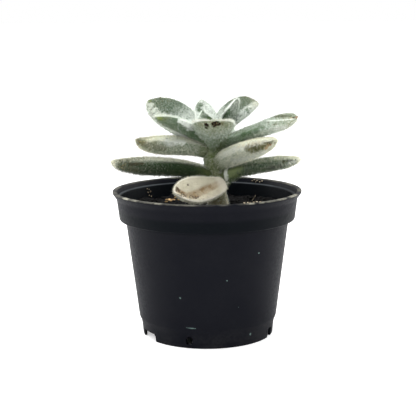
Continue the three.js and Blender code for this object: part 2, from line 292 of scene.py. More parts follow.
print("shader groups:", [group.name for group in bpy.data.node_groups])


# %% Start and finish a material
def new_material(name):
    """An empty material. Gives it with its tree, its place on the object and its shader's inputs."""
    material = bpy.data.materials.new(name)
    material.use_nodes = True
    tree = material.node_tree
    shader = tree.nodes["Principled BSDF"]
    place = add(tree, "TexCoord").outputs["Object"]
    return material, tree, place, shader.inputs


def coat(tree, inputs, colour, roughness, gloss):
    """Feeds a colour and a roughness into the shader, and sets how much it mirrors."""
    tree.links.new(colour, inputs["Base Color"])
    tree.links.new(roughness, inputs["Roughness"])
    inputs["Specular IOR Level"].default_value = gloss


def bumpy(tree, inputs, height, depth_mm):
    """Feeds a height into the shader's normal."""
    sockets = {"Height": height, "Distance": depth_mm * MM}
    tree.links.new(add(tree, "Bump", sockets).outputs["Normal"], inputs["Normal"])


# %% [markdown]
# ## One way to build every skin
# The pot, the soil, the stem and the leaves are all rings of points with a closing point at each end: a
# lathe profile gives rings round the axis, and a leaf gives rings round its midrib. One function turns
# rings into a closed mesh, so that each piece only has to say where its rings are.


# %% Build a closed skin
def make_piece(name, points, faces, material, slot, replaced=(), soft=True):
    """A piece from points in millimetres, which rides with the pot."""
    mesh = bpy.data.meshes.new(name)
    mesh.from_pydata((np.asarray(points) * MM).tolist(), [], faces)
    mesh.materials.append(material)
    mesh.polygons.foreach_set("use_smooth", [soft] * len(mesh.polygons))
    mesh.validate()
    piece = in_scene(name, mesh)
    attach(piece, "root")
    if replaced:
        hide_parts(*replaced)
    return piece


def skin_faces(count, sides):
    """Faces over rings of points, with a fan at each end to the two points that follow them."""
    faces = []
    for ring in range(count - 1):
        for side in range(sides):
            here, there = ring * sides + side, ring * sides + (side + 1) % sides
            faces.append((here, there, there + sides, here + sides))
    last = (count - 1) * sides
    for side in range(sides):
        there = (side + 1) % sides
        faces.append((last + sides, there, side))
        faces.append((last + sides + 1, last + side, last + there))
    return faces


def closed_skin(name, rings, first, last, material, slot, replaced):
    """A closed mesh over rings of points, from the point first to the point last."""
    count, sides = rings.shape[:2]
    points = np.vstack([rings.reshape(-1, 3), first, last])
    return make_piece(name, points, skin_faces(count, sides), material, slot, replaced)


def round_ring(radius, height, sides):
    """A level ring of points round the Z axis."""
    turn = np.linspace(0, 2 * math.pi, sides, endpoint=False)
    return np.stack([radius * np.cos(turn), radius * np.sin(turn), np.full(sides, float(height))], axis=1)


# %% [markdown]
# ## The pot
# A nursery pot is one thin moulding: a foot ring with notches, a tapered body, a stepped collar for
# stacking and a rolled lip. It could be cut from a solid, but a lathe profile says the same in a dozen
# points. Each corner gets a small arc, because no moulded edge is sharp and the arcs catch the light.

# %% The pot's profile
POT_SIDES = 256
POT_UNDERSIDE = 4.4
POT_FLOOR = 5.6
POT_CORNERS = [
    # radius, height, rounding: the outside from the foot to the lip
    (33.5, POT_UNDERSIDE, 0.5),
    (33.5, 0, 0.3),
    (34.8, 0, 0.4),
    (35.5, 7, 1.2),
    (36.8, 10.1, 0.5),
    (43.3, 62, 0.6),
    (46.5, 62, 0.7),
    (47.9, 73.2, 1),
    (50, 76.1, 0.4),
    # the lip's edge and its top, then the inside down to the floor
    (50, 77.1, 0.35),
    (47.9, 77.1, 0.5),
    (47, 74.3, 0.4),
    (46, 73.75, 0.3),
    (45.4, 63, 0.5),
    (42.3, 63, 0.5),
    (35.8, 10.1, 1),
    (34.5, 7, 1),
    (33.5, POT_FLOOR, 0.6),
]
POT_WALL = POT_CORNERS[2:6]


def rounded(corners, steps=4):
    """An outline whose inner corners are arcs. The first and the last corner stay as they are."""
    outline = [corners[0][:2]]
    for before, (radius, height, size), after in zip(corners, corners[1:-1], corners[2:]):
        corner = np.array([radius, height], float)
        to_before = np.array(before[:2]) - corner
        to_after = np.array(after[:2]) - corner
        size = min(size, 0.45 * np.linalg.norm(to_before), 0.45 * np.linalg.norm(to_after))
        start = corner + to_before / np.linalg.norm(to_before) * size
        end = corner + to_after / np.linalg.norm(to_after) * size
        for share in np.linspace(0, 1, steps):
            outline.append((1 - share) ** 2 * start + 2 * share * (1 - share) * corner + share**2 * end)
    outline.append(corners[-1][:2])
    return [tuple(point) for point in outline]


pot_profile = rounded([(0, POT_UNDERSIDE, 0), *POT_CORNERS, (0, POT_FLOOR, 0)])[1:-1]
print("points in the pot's profile:", len(pot_profile))

# %% [markdown]
# ## Black moulded plastic
# Black plastic is never quite black. It is a dark, slightly blue grey with a faint grain, it shines a
# little at its edges, and dust and lime dull it. The lime sits where water dries: along the lip at the
# front left, with a few crumbs and flecks further down. Towards the lip's right end the same pale colour
# is painted highlight as well as lime. The inner wall above the soil is darker: painted shade in the pot's
# hollow. The pale line on the ledge under the lip is dust with a painted highlight.

# %% What lies on the plastic
BLACK_PLASTIC = (0.0052, 0.0058, 0.0095)
SHADED_INNER_PLASTIC = (0.0016, 0.003, 0.005)
FINE_DUST = (0.024, 0.024, 0.026)
LEDGE_DUST_AND_HIGHLIGHT = (0.08, 0.09, 0.1)
PALE_DOT = (0.2, 0.2, 0.2)
PALE_FLECK = (0.24, 0.36, 0.33)
LIME_AND_HIGHLIGHT = (0.4, 0.39, 0.32)

DUST_TOP = 14
# Where a finish starts to show and where it is full: two pairs of radii, then four of heights.
INNER_WALL = (47.4, 47.1)
LEDGE_EDGE = (46.1, 46.5)
INNER_SHADE_FROM = (60, 63)
LEDGE_BOTTOM = (73.3, 73.6)
LEDGE_TOP = (74.7, 74.3)
LIP_FROM = (76.3, 76.8)

POT_FLECKS = [
    # azimuth, height, radius in mm, strength
    (-51.5, 49.5, 0.45, 0.6),
    (-111, 27.5, 0.5, 0.5),
    (-76, 36.8, 0.4, 0.5),
    (-52, 5.8, 0.6, 0.45),
    (-66, 22, 0.35, 0.3),
    *[(-107 + step, 11.6 - 0.03 * step, 0.35, 0.2 + 0.06 * step) for step in range(8)],
]
LIP_DUST_AND_HIGHLIGHT = [
    # azimuth, half width in degrees, strength
    (-166, 9, 0.12),
    (-146, 5, 1),
    (-137, 4, 0.65),
    (-119, 4, 0.6),
    (-64, 3, 0.65),
    (-57, 3, 0.5),
    # These three, towards the right end of the lip, are painted highlight as well as lime.
    (-41, 6, 0.6),
    (-27, 8, 0.8),
    (-5, 8, 0.45),
]
print("flecks and dusty places on the pot:", len(POT_FLECKS) + len(LIP_DUST_AND_HIGHLIGHT))


# %% The plastic's finish
def round_axis(radius, azimuth, height):
    """The point at a radius from the Z axis, an azimuth in degrees and a height."""
    turn = math.radians(azimuth)
    return np.array([radius * math.cos(turn), radius * math.sin(turn), height])


def pot_radius(height):
    """The pot's outer radius at a height, off its body and its foot."""
    radii, heights, _ = zip(*POT_WALL)
    return float(np.interp(height, heights, radii))


def plastic_material():
    """Black plastic with dust, flecks, a damp inner wall and lime along the lip."""
    material, tree, place, inputs = new_material("black moulded plastic")
    parts = add(tree, "SeparateXYZ", {0: place}).outputs
    turn = maths(tree, "ARCTAN2", parts["Y"], parts["X"])
    height = parts["Z"]
    level = add(tree, "CombineXYZ", {0: parts["X"], 1: parts["Y"]}).outputs[0]
    out = add(tree, "VectorMath", {0: level}, operation="LENGTH").outputs["Value"]

    dust = mottled(tree, place, 60.0, 5.0)
    grime = mottled(tree, place, 700.0, 3.0)
    dusty = times(tree, dust, mm_fade(tree, height, DUST_TOP, 0, 0.08, 0.6))
    dusty = times(tree, dusty, plus(tree, grime, 0.4), clamp=True)
    colour = blend(tree, dusty, BLACK_PLASTIC, FINE_DUST)
    colour = stain(tree, colour, dotted(tree, place, 420.0, 0.006), 0.35, PALE_DOT)
    for azimuth, z, radius, strength in POT_FLECKS:
        fleck = patched(tree, place, round_axis(pot_radius(z), azimuth, z), radius, 0.6)
        colour = stain(tree, colour, fleck, strength, PALE_FLECK)

    inner = mm_fade(tree, out, *INNER_WALL)
    # Painted shade: the inner wall above the soil is darker, as the hollow of the pot lies in shade.
    damp = times(tree, inner, mm_fade(tree, height, *INNER_SHADE_FROM))
    colour = blend(tree, damp, colour, SHADED_INNER_PLASTIC)
    # A pale line on the ledge: dust, and a painted highlight where its edge catches the light.
    ledge_dust_and_highlight = times(tree, mm_fade(tree, height, *LEDGE_BOTTOM), mm_fade(tree, height, *LEDGE_TOP))
    ledge_dust_and_highlight = times(tree, ledge_dust_and_highlight, times(tree, inner, mm_fade(tree, out, *LEDGE_EDGE)))
    ledge_dust_and_highlight = times(tree, ledge_dust_and_highlight, plus(tree, times(tree, dust, 0.4), 0.25))
    colour = blend(tree, ledge_dust_and_highlight, colour, LEDGE_DUST_AND_HIGHLIGHT)

    # Lime along the top of the lip. Towards the right end this pale colour is also a painted highlight.
    lime = times(tree, mottled(tree, place, 90.0, 2.0), 0.42)
    for azimuth, half, strength in LIP_DUST_AND_HIGHLIGHT:
        off = maths(tree, "ABSOLUTE", less(tree, turn, math.radians(azimuth)))
        spot = fade(tree, off, math.radians(half), math.radians(0.4 * half), 0.0, strength)
        lime = most(tree, lime, spot)
    broken = mottled(tree, place, 800.0, 4.0)
    lime = times(tree, lime, plus(tree, times(tree, broken, 0.6), 0.45))
    lime = times(tree, lime, mm_fade(tree, height, *LIP_FROM), clamp=True)
    colour = blend(tree, lime, colour, LIME_AND_HIGHLIGHT)

    rough = plus(tree, times(tree, grime, 0.12), 0.42)
    rough = plus(tree, rough, times(tree, lime, 0.35), clamp=True)
    coat(tree, inputs, colour, rough, 0.06)
    grain = clouds(tree, place, 2600.0, 2.0)
    bumpy(tree, inputs, plus(tree, grain, times(tree, lime, 3.0)), 0.03)
    return material


# %% Turn the pot and cut its notches
FOOT_RADIUS = 34.5
CUT_DEPTH = 6
CUT_ROUNDING = 0.7
SHARP_ANGLE = 35
FOOT_HOLES = [
    # azimuth, width, from a height to a height: three notches, then three slots
    (207, 14, -1, 4),
    (338, 5.2, -1, 5),
    (98, 5.2, -1, 4),
    (254, 3.6, 1.8, 6.3),
    (14, 3.6, 1.8, 6.3),
    (134, 3.6, 1.8, 6.3),
]


def foot_cutters():
    """Boxes with rounded edges, which reach out through the foot ring, as one object."""
    made = bmesh.new()
    for azimuth, width, low, high in FOOT_HOLES:
        box = bmesh.ops.create_cube(made, size=1)["verts"]
        bmesh.ops.scale(made, vec=Vector((CUT_DEPTH, width, high - low)) * MM, verts=box)
        bmesh.ops.translate(made, vec=Vector((FOOT_RADIUS, 0, (high + low) / 2)) * MM, verts=box)
        ends = [(edge, edge.verts[0].co - edge.verts[1].co) for edge in made.edges if edge.verts[0] in box]
        outward = [edge for edge, way in ends if abs(way.x) > CUT_DEPTH / 2 * MM]
        bevelled = bmesh.ops.bevel(
            made, geom=outward, offset=CUT_ROUNDING * MM, segments=4, affect="EDGES"
        )
        whole = {vert for vert in box if vert.is_valid} | set(bevelled["verts"])
        turn = Matrix.Rotation(math.radians(azimuth), 3, "Z")
        bmesh.ops.rotate(made, cent=(0, 0, 0), matrix=turn, verts=list(whole))
    mesh = bpy.data.meshes.new("foot cutters")
    made.to_mesh(mesh)
    made.free()
    return in_scene("foot cutters", mesh)


rings = np.array([round_ring(radius, height, POT_SIDES) for radius, height in pot_profile])
ends = [(0, 0, POT_UNDERSIDE), (0, 0, POT_FLOOR)]
pot = closed_skin("nursery_pot", rings, *ends, plastic_material(), "pot", ["pot"])
cutters = foot_cutters()
cut = pot.modifiers.new("foot cuts", "BOOLEAN")
cut.operation = "DIFFERENCE"
cut.solver = "EXACT"
cut.object = cutters
with bpy.context.temp_override(object=pot, active_object=pot):
    bpy.ops.object.modifier_apply(modifier=cut.name)
bpy.data.objects.remove(cutters)
pot.data.set_sharp_from_angle(angle=math.radians(SHARP_ANGLE))
print("pot faces:", len(pot.data.polygons))

# %% [markdown]
# ## The soil
# Peat mix is a dark, crumbly surface with bark chips, fibres and a few white grains of perlite. A flat
# disc would give it away from above, so the surface is raised and lowered by layered noise, and the
# larger crumbs are real pieces that stand in it.

# %% The soil's surface
SOIL_LEVEL = 67.4
SOIL_BOTTOM = 5.9
SOIL_EDGE = 45.1
SOIL_WALL = [(33.2, SOIL_BOTTOM), (34.2, 7.3), (35.5, 10.4), (42, 63.3), (SOIL_EDGE, 63.3)]
SOIL_SIDES = 240
SOIL_RINGS = 52
SOIL_LAYERS = [
    # waves in a millimetre, height, and a shift that makes each layer another noise
    (0.09, 1.6, 0),
    (0.45, 0.8, 7),
    (1.3, 0.45, 3),
]
STEM_FOOT = (6.2, 0.5)
MOUND_HEIGHT = 1.2
MOUND_SPREAD = 180
DARK_PEAT = (0.0016, 0.002, 0.0026)
BROWN_PEAT = (0.0048, 0.0042, 0.004)
PEAT_GRAIN = (0.014, 0.011, 0.008)


def from_stem(x, y):
    """How far a place on the soil is from the stem."""
    return math.hypot(x - STEM_FOOT[0], y - STEM_FOOT[1])


def soil_height(x, y):
    """The soil's height at a place: slow lumps, crumbs and a low mound at the stem."""
    height = SOIL_LEVEL + MOUND_HEIGHT * math.exp(-(from_stem(x, y) ** 2) / MOUND_SPREAD)
    for waves, rise, shift in SOIL_LAYERS:
        height += rise * noise.noise(Vector((x, y, shift)) * waves)
    return height


def soil_material():
    """Dark peat, finely speckled and rough."""
    material, tree, place, inputs = new_material("peat mix")
    coarse = mottled(tree, place, 260.0, 6.0)
    fine = dotted(tree, place, 1100.0, 0.35)
    colour = stain(tree, blend(tree, coarse, DARK_PEAT, BROWN_PEAT), fine, 0.2, PEAT_GRAIN)
    coat(tree, inputs, colour, fade(tree, coarse, 0.0, 1.0, 0.8, 0.97), 0.1)
    bumpy(tree, inputs, plus(tree, clouds(tree, place, 1500.0, 4.0), fine), 0.25)
    return material


rings = [round_ring(radius, height, SOIL_SIDES) for radius, height in SOIL_WALL]
for share in np.linspace(1, 0.02, SOIL_RINGS):
    ring = round_ring(share * SOIL_EDGE, 0, SOIL_SIDES)
    ring[:, 2] = [soil_height(x, y) for x, y, _ in ring]
    rings.append(ring)
ends = [(0, 0, SOIL_BOTTOM), (0, 0, soil_height(0, 0))]
soil = closed_skin("peat", np.array(rings), *ends, soil_material(), "soil", ["soil"])
print("soil faces:", len(soil.data.polygons))

# %% [markdown]
# ## Bark, grains and perlite
# Each crumb is a small ball with its points pushed in or out at random, stretched and turned. Hundreds
# of objects would be slow to handle, so the crumbs of one kind are joined in one piece. The draws are
# seeded, which lays the same crumbs each time.

# %% Shape and join crumbs
CRUMB_SEED = 5
CRUMB_LEAN = 0.4
crumb_draws = np.random.default_rng(CRUMB_SEED)


def chip_shape(size, draws, rough=0.5, flat=0.0):
    """A crumb: a ball of 42 points with each point pushed in or out, stretched to a size."""
    made = bmesh.new()
    bmesh.ops.create_icosphere(made, subdivisions=2, radius=1)
    points = np.array([vert.co[:] for vert in made.verts])
    faces = [tuple(vert.index for vert in face.verts) for face in made.faces]
    made.free()
    points *= 1 + rough * (draws.random(len(points)) - 0.5)[:, None]
    points[:, 2] = np.clip(points[:, 2], -1 + flat, 1 - flat)
    return points * size, faces


def turned(points, draws):
    """Points turned at random about Z, and tipped a little."""
    turn = Matrix.Rotation(draws.uniform(0, 2 * math.pi), 3, "Z")
    lean = Matrix.Rotation(draws.uniform(-CRUMB_LEAN, CRUMB_LEAN), 3, "X")
    return points @ np.array(turn @ lean).T


def joined(shapes):
    """The points and the faces of several shapes, as those of one."""
    faces, total = [], 0
    for points, shape_faces in shapes:
        faces += [tuple(corner + total for corner in face) for face in shape_faces]
        total += len(points)
    return np.vstack([points for points, _ in shapes]), faces


# %% Draw places and lay the crumbs
CRUMB_REACH = 43
FRONT_LIMIT = 4
CLEAR_OF_STEM = 6.5


def all_round(draws):
    """A place anywhere on the soil."""
    azimuth = draws.uniform(0, 2 * math.pi)
    distance = CRUMB_REACH * math.sqrt(draws.uniform(0, 1))
    return distance * math.cos(azimuth), distance * math.sin(azimuth)


def in_front(draws):
    """A place on the front half of the soil."""
    while True:
        x, y = all_round(draws)
        if y < FRONT_LIMIT:
            return x, y


def near(middle, spread):
    """A way to draw places round one point."""
    return lambda draws: tuple(np.array(middle) + draws.normal(size=2) * spread)


def scatter(name, count, where, sizes, material, draws, sink=0.3, rough=0.5, flat=0.0):
    """Many crumbs on the soil, joined in one piece, clear of the stem."""
    crumbs = []
    while len(crumbs) < count:
        x, y = where(draws)
        if from_stem(x, y) < CLEAR_OF_STEM:
            continue
        size = np.array([draws.uniform(low, high) for low, high in sizes])
        points, faces = chip_shape(size, draws, rough, flat)
        middle = [x, y, soil_height(x, y) + size[2] * (1 - 2 * sink)]
        crumbs.append((turned(points, draws) + middle, faces))
    make_piece(name, *joined(crumbs), material, "soil", soft=False)


def placed(name, spots, size, material, draws):
    """Crumbs at given places, joined in one piece."""
    crumbs = []
    for spot in spots:
        points, faces = chip_shape(np.array(size) * draws.uniform(0.7, 1.3, 3), draws)
        crumbs.append((turned(points, draws) + spot, faces))
    make_piece(name, *joined(crumbs), material, "soil", soft=False)


# %% Bark, grains and perlite
CRUMB = [(0.5, 1.4), (0.4, 1), (0.3, 0.8)]
CHIP = [(0.8, 2.1), (0.5, 1.1), (0.25, 0.5)]
GRAIN = [(0.25, 0.6), (0.25, 0.55), (0.25, 0.5)]
BARK_STREAKS = 350.0


def crumb_material(name, dark, pale, scale=500.0):
    """Bark, grit or perlite: two shades in streaks, with a rough face."""
    material, tree, place, inputs = new_material(name)
    streaks = mottled(tree, place, scale, 5.0)
    coat(tree, inputs, blend(tree, streaks, dark, pale), fade(tree, streaks, 0.0, 1.0, 0.95, 0.75), 0.15)
    bumpy(tree, inputs, streaks, 0.15)
    return material


dark_crumb = crumb_material("dark crumb", (0.0015, 0.0018, 0.0022), (0.006, 0.005, 0.0045))
dark_bark = crumb_material("damp bark", (0.004, 0.003, 0.0022), (0.014, 0.009, 0.006), BARK_STREAKS)
bark = crumb_material("dry bark", (0.2, 0.1, 0.035), (0.75, 0.52, 0.26), BARK_STREAKS)
brown_bark = crumb_material("brown bark", (0.05, 0.03, 0.014), (0.4, 0.26, 0.13), BARK_STREAKS)
perlite = crumb_material("perlite", (0.5, 0.48, 0.42), (0.82, 0.8, 0.75), 900.0)
cluster = near((-19.5, 23), (2.6, 3.4))
scatter("peat_crumbs", 380, all_round, CRUMB, dark_crumb, crumb_draws)
scatter("damp_bark_chips", 40, all_round, CHIP, dark_bark, crumb_draws, flat=0.3)
scatter("dry_bark_chips", 26, in_front, CHIP, brown_bark, crumb_draws, flat=0.3)
scatter("dry_bark_cluster", 13, cluster, CHIP, bark, crumb_draws, sink=0.1, flat=0.2)
scatter("perlite_grains", 22, in_front, GRAIN, perlite, crumb_draws, rough=0.35)
print("soil crumbs scattered")

# %% Crumbs on the pot and the straw
# Each crumb on the pot has an azimuth and a height.
WALL_GRAINS = [(137.2, 72.8), (135.6, 72.2), (136.4, 70.6), (134.2, 70.9), (135.4, 68.9), (133.6, 68.2)]
RIM_CRUMBS = [(-68, 77.3), (-66, 77.4), (-64.5, 77.2), (-62, 77.3), (-60, 77.4), (-57.5, 77.2)]
BACK_CRUMBS = [(57, 75.6), (55.6, 76.3), (54.4, 75.2), (53, 76), (51, 75.4), (49, 76)]
STRAW = [(24.4 + 0.3 * step, 12, 68.8 + 0.45 * step) for step in range(7)]


def on_pot(radius, spots):
    """Places at a radius, from azimuths and heights."""
    return [round_axis(radius, azimuth, z) for azimuth, z in spots]


dusty = crumb_material("dusty crumb", (0.2, 0.16, 0.11), (0.46, 0.39, 0.29))
placed("wall_grains", on_pot(45.6, WALL_GRAINS), (0.35, 0.35, 0.45), dusty, crumb_draws)
placed("rim_crumbs", on_pot(48.8, RIM_CRUMBS), (0.6, 0.5, 0.3), dusty, crumb_draws)
placed("back_crumbs", on_pot(47.2, BACK_CRUMBS), (0.5, 0.4, 0.4), dusty, crumb_draws)
placed("straw", STRAW, (0.2, 0.2, 0.4), dusty, crumb_draws)
print("crumbs and straw placed")

# %% [markdown]
# ## The leaf
# Every leaf of this plant is the same thing at another size: a fleshy spoon that leaves the stem, levels
# out, and is widest well past its middle. The midrib is followed from the stem outwards, and rings of
# points are set round it. The lower face bulges more than the upper one, and the margins lift a little.
# The same rule made the solids of the frame, so the fine leaves keep their places. A few differ a little
# from their solids: the middle right one is twisted, the upper front one is rounder and hollower, the
# upper front left one is slimmer, and the withered one starts further in.

# %% The plain leaf
LEAF = {
    "rise": 30, "level": 15, "tip_up": 0, "settle": 1.6, "roll": 0, "twist": 0, "start": 2.5,
    "aside": (0, 0), "length": 40, "width": 20, "thick": 7.6, "neck": 0.42, "broad": 0.68, "swell": 1.3,
    "blunt": 0.6, "round": 2.3, "above": 0.34, "cup": 0.8, "point": 0.3, "heel": (0, 0), "rounded": 0,
}
DEPTH = {"neck": 0.8, "broad": 0.45, "swell": 1, "round": 2.6, "blunt": 0.6}
print("values of a leaf:", len(LEAF))


def swelling(share, shape):
    """The share of its full size that a shape has at a share of its length."""
    rising = np.sin(math.pi / 2 * np.minimum(share / shape["broad"], 1)) ** shape["swell"]
    past = np.clip((share - shape["broad"]) / (1 - shape["broad"]), 0, 1)
    fading = (1 - past ** shape["round"]) ** shape["blunt"]
    return np.where(share < shape["broad"], shape["neck"] + (1 - shape["neck"]) * rising, fading)


# %% The midrib
LEAN_TOP = 104
LEAN_HEIGHT = 36
TOP_X = 2.6
LEAN_X = 3.6
LEAN_CURVE = 1.6
TIP_REACH = 0.25
PATH_STEPS = 160


def stem_axis(height):
    """The middle of the stem at a height. It leans to the left as it rises."""
    down = max(0, (LEAN_TOP - height) / LEAN_HEIGHT)
    return np.array([TOP_X + LEAN_X * down**LEAN_CURVE, down - 0.5, height])


def leaf_heading(leaf, share):
    """The direction of the midrib at each share of its length."""
    tip = np.clip(1 - (1 - share) / TIP_REACH, 0, 1) ** 2
    settling = (leaf["rise"] - leaf["level"]) * (1 - share) ** leaf["settle"]
    rise = np.radians(leaf["level"] + settling + leaf["tip_up"] * tip)
    azimuth = math.radians(leaf["azimuth"])
    flat = np.cos(rise)
    return np.stack([flat * math.cos(azimuth), flat * math.sin(azimuth), np.sin(rise)], axis=1)


def leaf_path(leaf):
    """The midrib's places, with the sideways and upward directions at each."""
    share = np.linspace(0, 1, PATH_STEPS + 1)
    middle = (share[1:] + share[:-1]) / 2
    steps = leaf_heading(leaf, middle) * leaf["length"] / PATH_STEPS
    foot = stem_axis(leaf["height"]) + np.array([*leaf["aside"], 0])
    foot = foot + leaf_heading(leaf, share[:1])[0] * leaf["start"]
    places = foot + np.vstack([np.zeros(3), np.cumsum(steps, axis=0)])
    azimuth = math.radians(leaf["azimuth"])
    roll = np.radians(leaf["roll"] + leaf["twist"] * share**3)[:, None]
    level = np.array([-math.sin(azimuth), math.cos(azimuth), 0])
    along = leaf_heading(leaf, share)
    upright = np.cross(along, level)
    side = level * np.cos(roll) + upright * np.sin(roll)
    return share, places, side, np.cross(along, side)


# %% The leaf's skin
EDGE_FULLNESS = 0.92
BELLY_FULLNESS = 0.9
HEEL_REACH = (0.3, 0.13)


def at(share, known, values):
    """Values of a path at other shares of its length."""
    return np.stack([np.interp(share, known, values[:, axis]) for axis in range(3)], axis=-1)


def leaf_surface(leaf, share, turn):
    """Points on the leaf's skin. The turn goes round the midrib: 0 is one margin, 90 degrees the top."""
    known, places, side, up = leaf_path(leaf)
    across = np.sign(np.cos(turn)) * np.abs(np.cos(turn)) ** EDGE_FULLNESS
    bulge = np.sign(np.sin(turn)) * np.abs(np.sin(turn)) ** BELLY_FULLNESS
    spread = swelling(share, leaf)
    thick = leaf["thick"] * swelling(share, DEPTH)
    if leaf["rounded"]:
        closing = np.sqrt(np.clip(1 - np.clip(1 - share / leaf["rounded"], 0, 1) ** 2, 0.01, 1))
        spread, thick = spread * closing, thick * closing
    heel = [1 + size * np.exp(-((share / reach) ** 2)) for size, reach in zip(leaf["heel"], HEEL_REACH)]
    lift = thick * bulge * np.where(bulge > 0, leaf["above"] * heel[0], (1 - leaf["above"]) * heel[1])
    lift = lift + leaf["cup"] * spread * across**2
    half = leaf["width"] / 2 * spread * across
    beside = at(share, known, side) * half[..., None]
    return at(share, known, places) + beside + at(share, known, up) * lift[..., None]


def skin_point(leaf, share, turn):
    """One point on the leaf's skin, its turn in degrees."""
    return leaf_surface(leaf, np.array([share]), np.radians([turn]))[0]


# %% [markdown]
# ## The leaves
# Each entry places one leaf, gives its size and says what else differs from the plain one. Heights and
# angles place it on the stem: the azimuth turns from +X towards +Y, the rise is its first slope and the
# level its last.

# %% The leaves
LEAVES = {
    "leaf_low_left": {
        "height": 84.5, "azimuth": 189.5, "rise": 25, "level": 0.5, "settle": 2.8, "tip_up": 18,
        "length": 53, "width": 20.4, "thick": 8.4, "neck": 0.5, "blunt": 0.52,
    },
    "leaf_low_right": {
        "height": 82, "azimuth": -1, "rise": 31, "level": 6, "settle": 2.8, "tip_up": 3,
        "length": 44.5, "width": 20, "thick": 6.4, "heel": (0.6, 0.7),
    },
    "leaf_mid_front_right": {
        "height": 90.3, "azimuth": -34.5, "rise": 33.5, "level": 16.5, "settle": 2.7, "roll": -1,
        "length": 38.5, "width": 19.3, "thick": 9.6,
    },
    "leaf_back": {
        "height": 93, "azimuth": 84, "rise": 32, "level": 14, "length": 38, "width": 19, "thick": 7.5,
    },
    "leaf_back_right": {
        "height": 92.5, "azimuth": 46, "rise": 26, "level": 14, "length": 38, "width": 18, "thick": 7.5,
    },
    "leaf_back_left": {
        "height": 94.5, "azimuth": 128, "rise": 44, "level": 28, "length": 34, "width": 18, "thick": 7.5,
    },
    "leaf_mid_left": {
        "height": 97, "azimuth": 176, "level": 0, "settle": 4.4, "tip_up": 29,
        "length": 39, "width": 20, "thick": 9.3, "neck": 0.5, "point": 0.8,
    },
    "leaf_mid_right": {
        "height": 100, "azimuth": -6.5, "rise": 24.5, "level": 15.5, "settle": 2, "tip_up": 10, "roll": 3,
        "twist": 22, "length": 45, "width": 20.2, "thick": 6.2, "point": 0.8,
    },
    "leaf_upper_front_left": {
        "height": 101.5, "azimuth": 207, "rise": 44, "level": 14, "settle": 1.8, "tip_up": -5,
        "length": 33.7, "width": 18.8, "thick": 6.6,
    },
    "leaf_upper_front": {
        "height": 98.4, "azimuth": -88, "rise": 53.5, "level": 17.5,
        "length": 30.5, "width": 21.6, "thick": 7.4, "neck": 0.2, "broad": 0.67, "swell": 1.5,
        "round": 2.6, "above": 0.2, "cup": 1.8,
    },
    "leaf_upper_back_left": {
        "height": 99.6, "azimuth": 152, "rise": 39, "level": 26, "roll": -25.5,
        "length": 42.7, "width": 21.5, "thick": 7.5, "broad": 0.6, "blunt": 0.65,
    },
    "leaf_upper_back_right": {
        "height": 102.6, "azimuth": 38, "rise": 55.5, "level": 20, "roll": 17, "tip_up": -35,
        "length": 34.9, "width": 16.5, "thick": 5.9, "broad": 0.6, "blunt": 0.44,
    },
    "leaf_inner_back": {
        "height": 100.4, "azimuth": 107, "rise": 57.5, "level": 45,
        "length": 27.5, "width": 12.2, "thick": 5, "broad": 0.5, "blunt": 0.8,
    },
    "leaf_inner_right": {
        "height": 103, "azimuth": 12, "rise": 43, "level": 66.5, "roll": -40, "start": 0,
        "length": 27, "width": 13, "thick": 4.5, "neck": 0.38, "broad": 0.55, "round": 1.7, "blunt": 0.85,
    },
    "leaf_inner_front": {
        "height": 103.7, "azimuth": -115.5, "rise": 64, "level": 54.5, "start": 0,
        "length": 19.5, "width": 10.6, "thick": 3.6, "neck": 0.5, "broad": 0.49, "round": 1.6,
        "blunt": 0.9,
    },
    "leaf_withered": {
        "height": 80.7, "azimuth": 210, "rise": -18.5, "level": 7, "roll": -58, "start": -2.8,
        "aside": (3, -8), "length": 31.3, "width": 14.5, "thick": 7.2,
        "neck": 0.53, "broad": 0.59, "blunt": 0.7, "above": 0.25, "cup": 1.3, "rounded": 0.1,
    },
}
leaves = {name: {**LEAF, **entry} for name, entry in LEAVES.items()}
print("leaves:", len(leaves))

# %% [markdown]
# ## How frosted each leaf is
# The frost on this plant is hair. It lies thick on the faces that look up and thin on the ones that look
# down, and it thins out towards the stem. `top` and `under` say how thick it lies on each face, first near
# the stem and then near the tip, and `change` where along the leaf the one becomes the other. `split`
# turns the border between the two faces round the leaf, and `crisp` is how wide that border is. `edge` is
# the pale line along the margins, which starts at `rim` on the way from the midrib to the margin. `end` is
# the tuft at the tip, and `tufts` how far small tufts break the frost up. `warm` says how much cream and
# tan the tip takes on, `freckled` how brown it is, and `speckled` how much the bare skin shows in dots.
# `frost` is the tone of the frost, `hair` names the hairs of bare skin, `shag` is how long all hairs are,
# and `paleness` the share of pale hairs on bare skin. `marks` are blemishes: share of the length, turn in
# degrees, radius in mm, and kind.

# %% How frosted each leaf is
DEEP_GREEN = (0.013, 0.034, 0.009)
DARK_GREEN = (0.022, 0.056, 0.021)
MID_GREEN = (0.042, 0.098, 0.034)
SOFT_GREEN = (0.085, 0.14, 0.065)

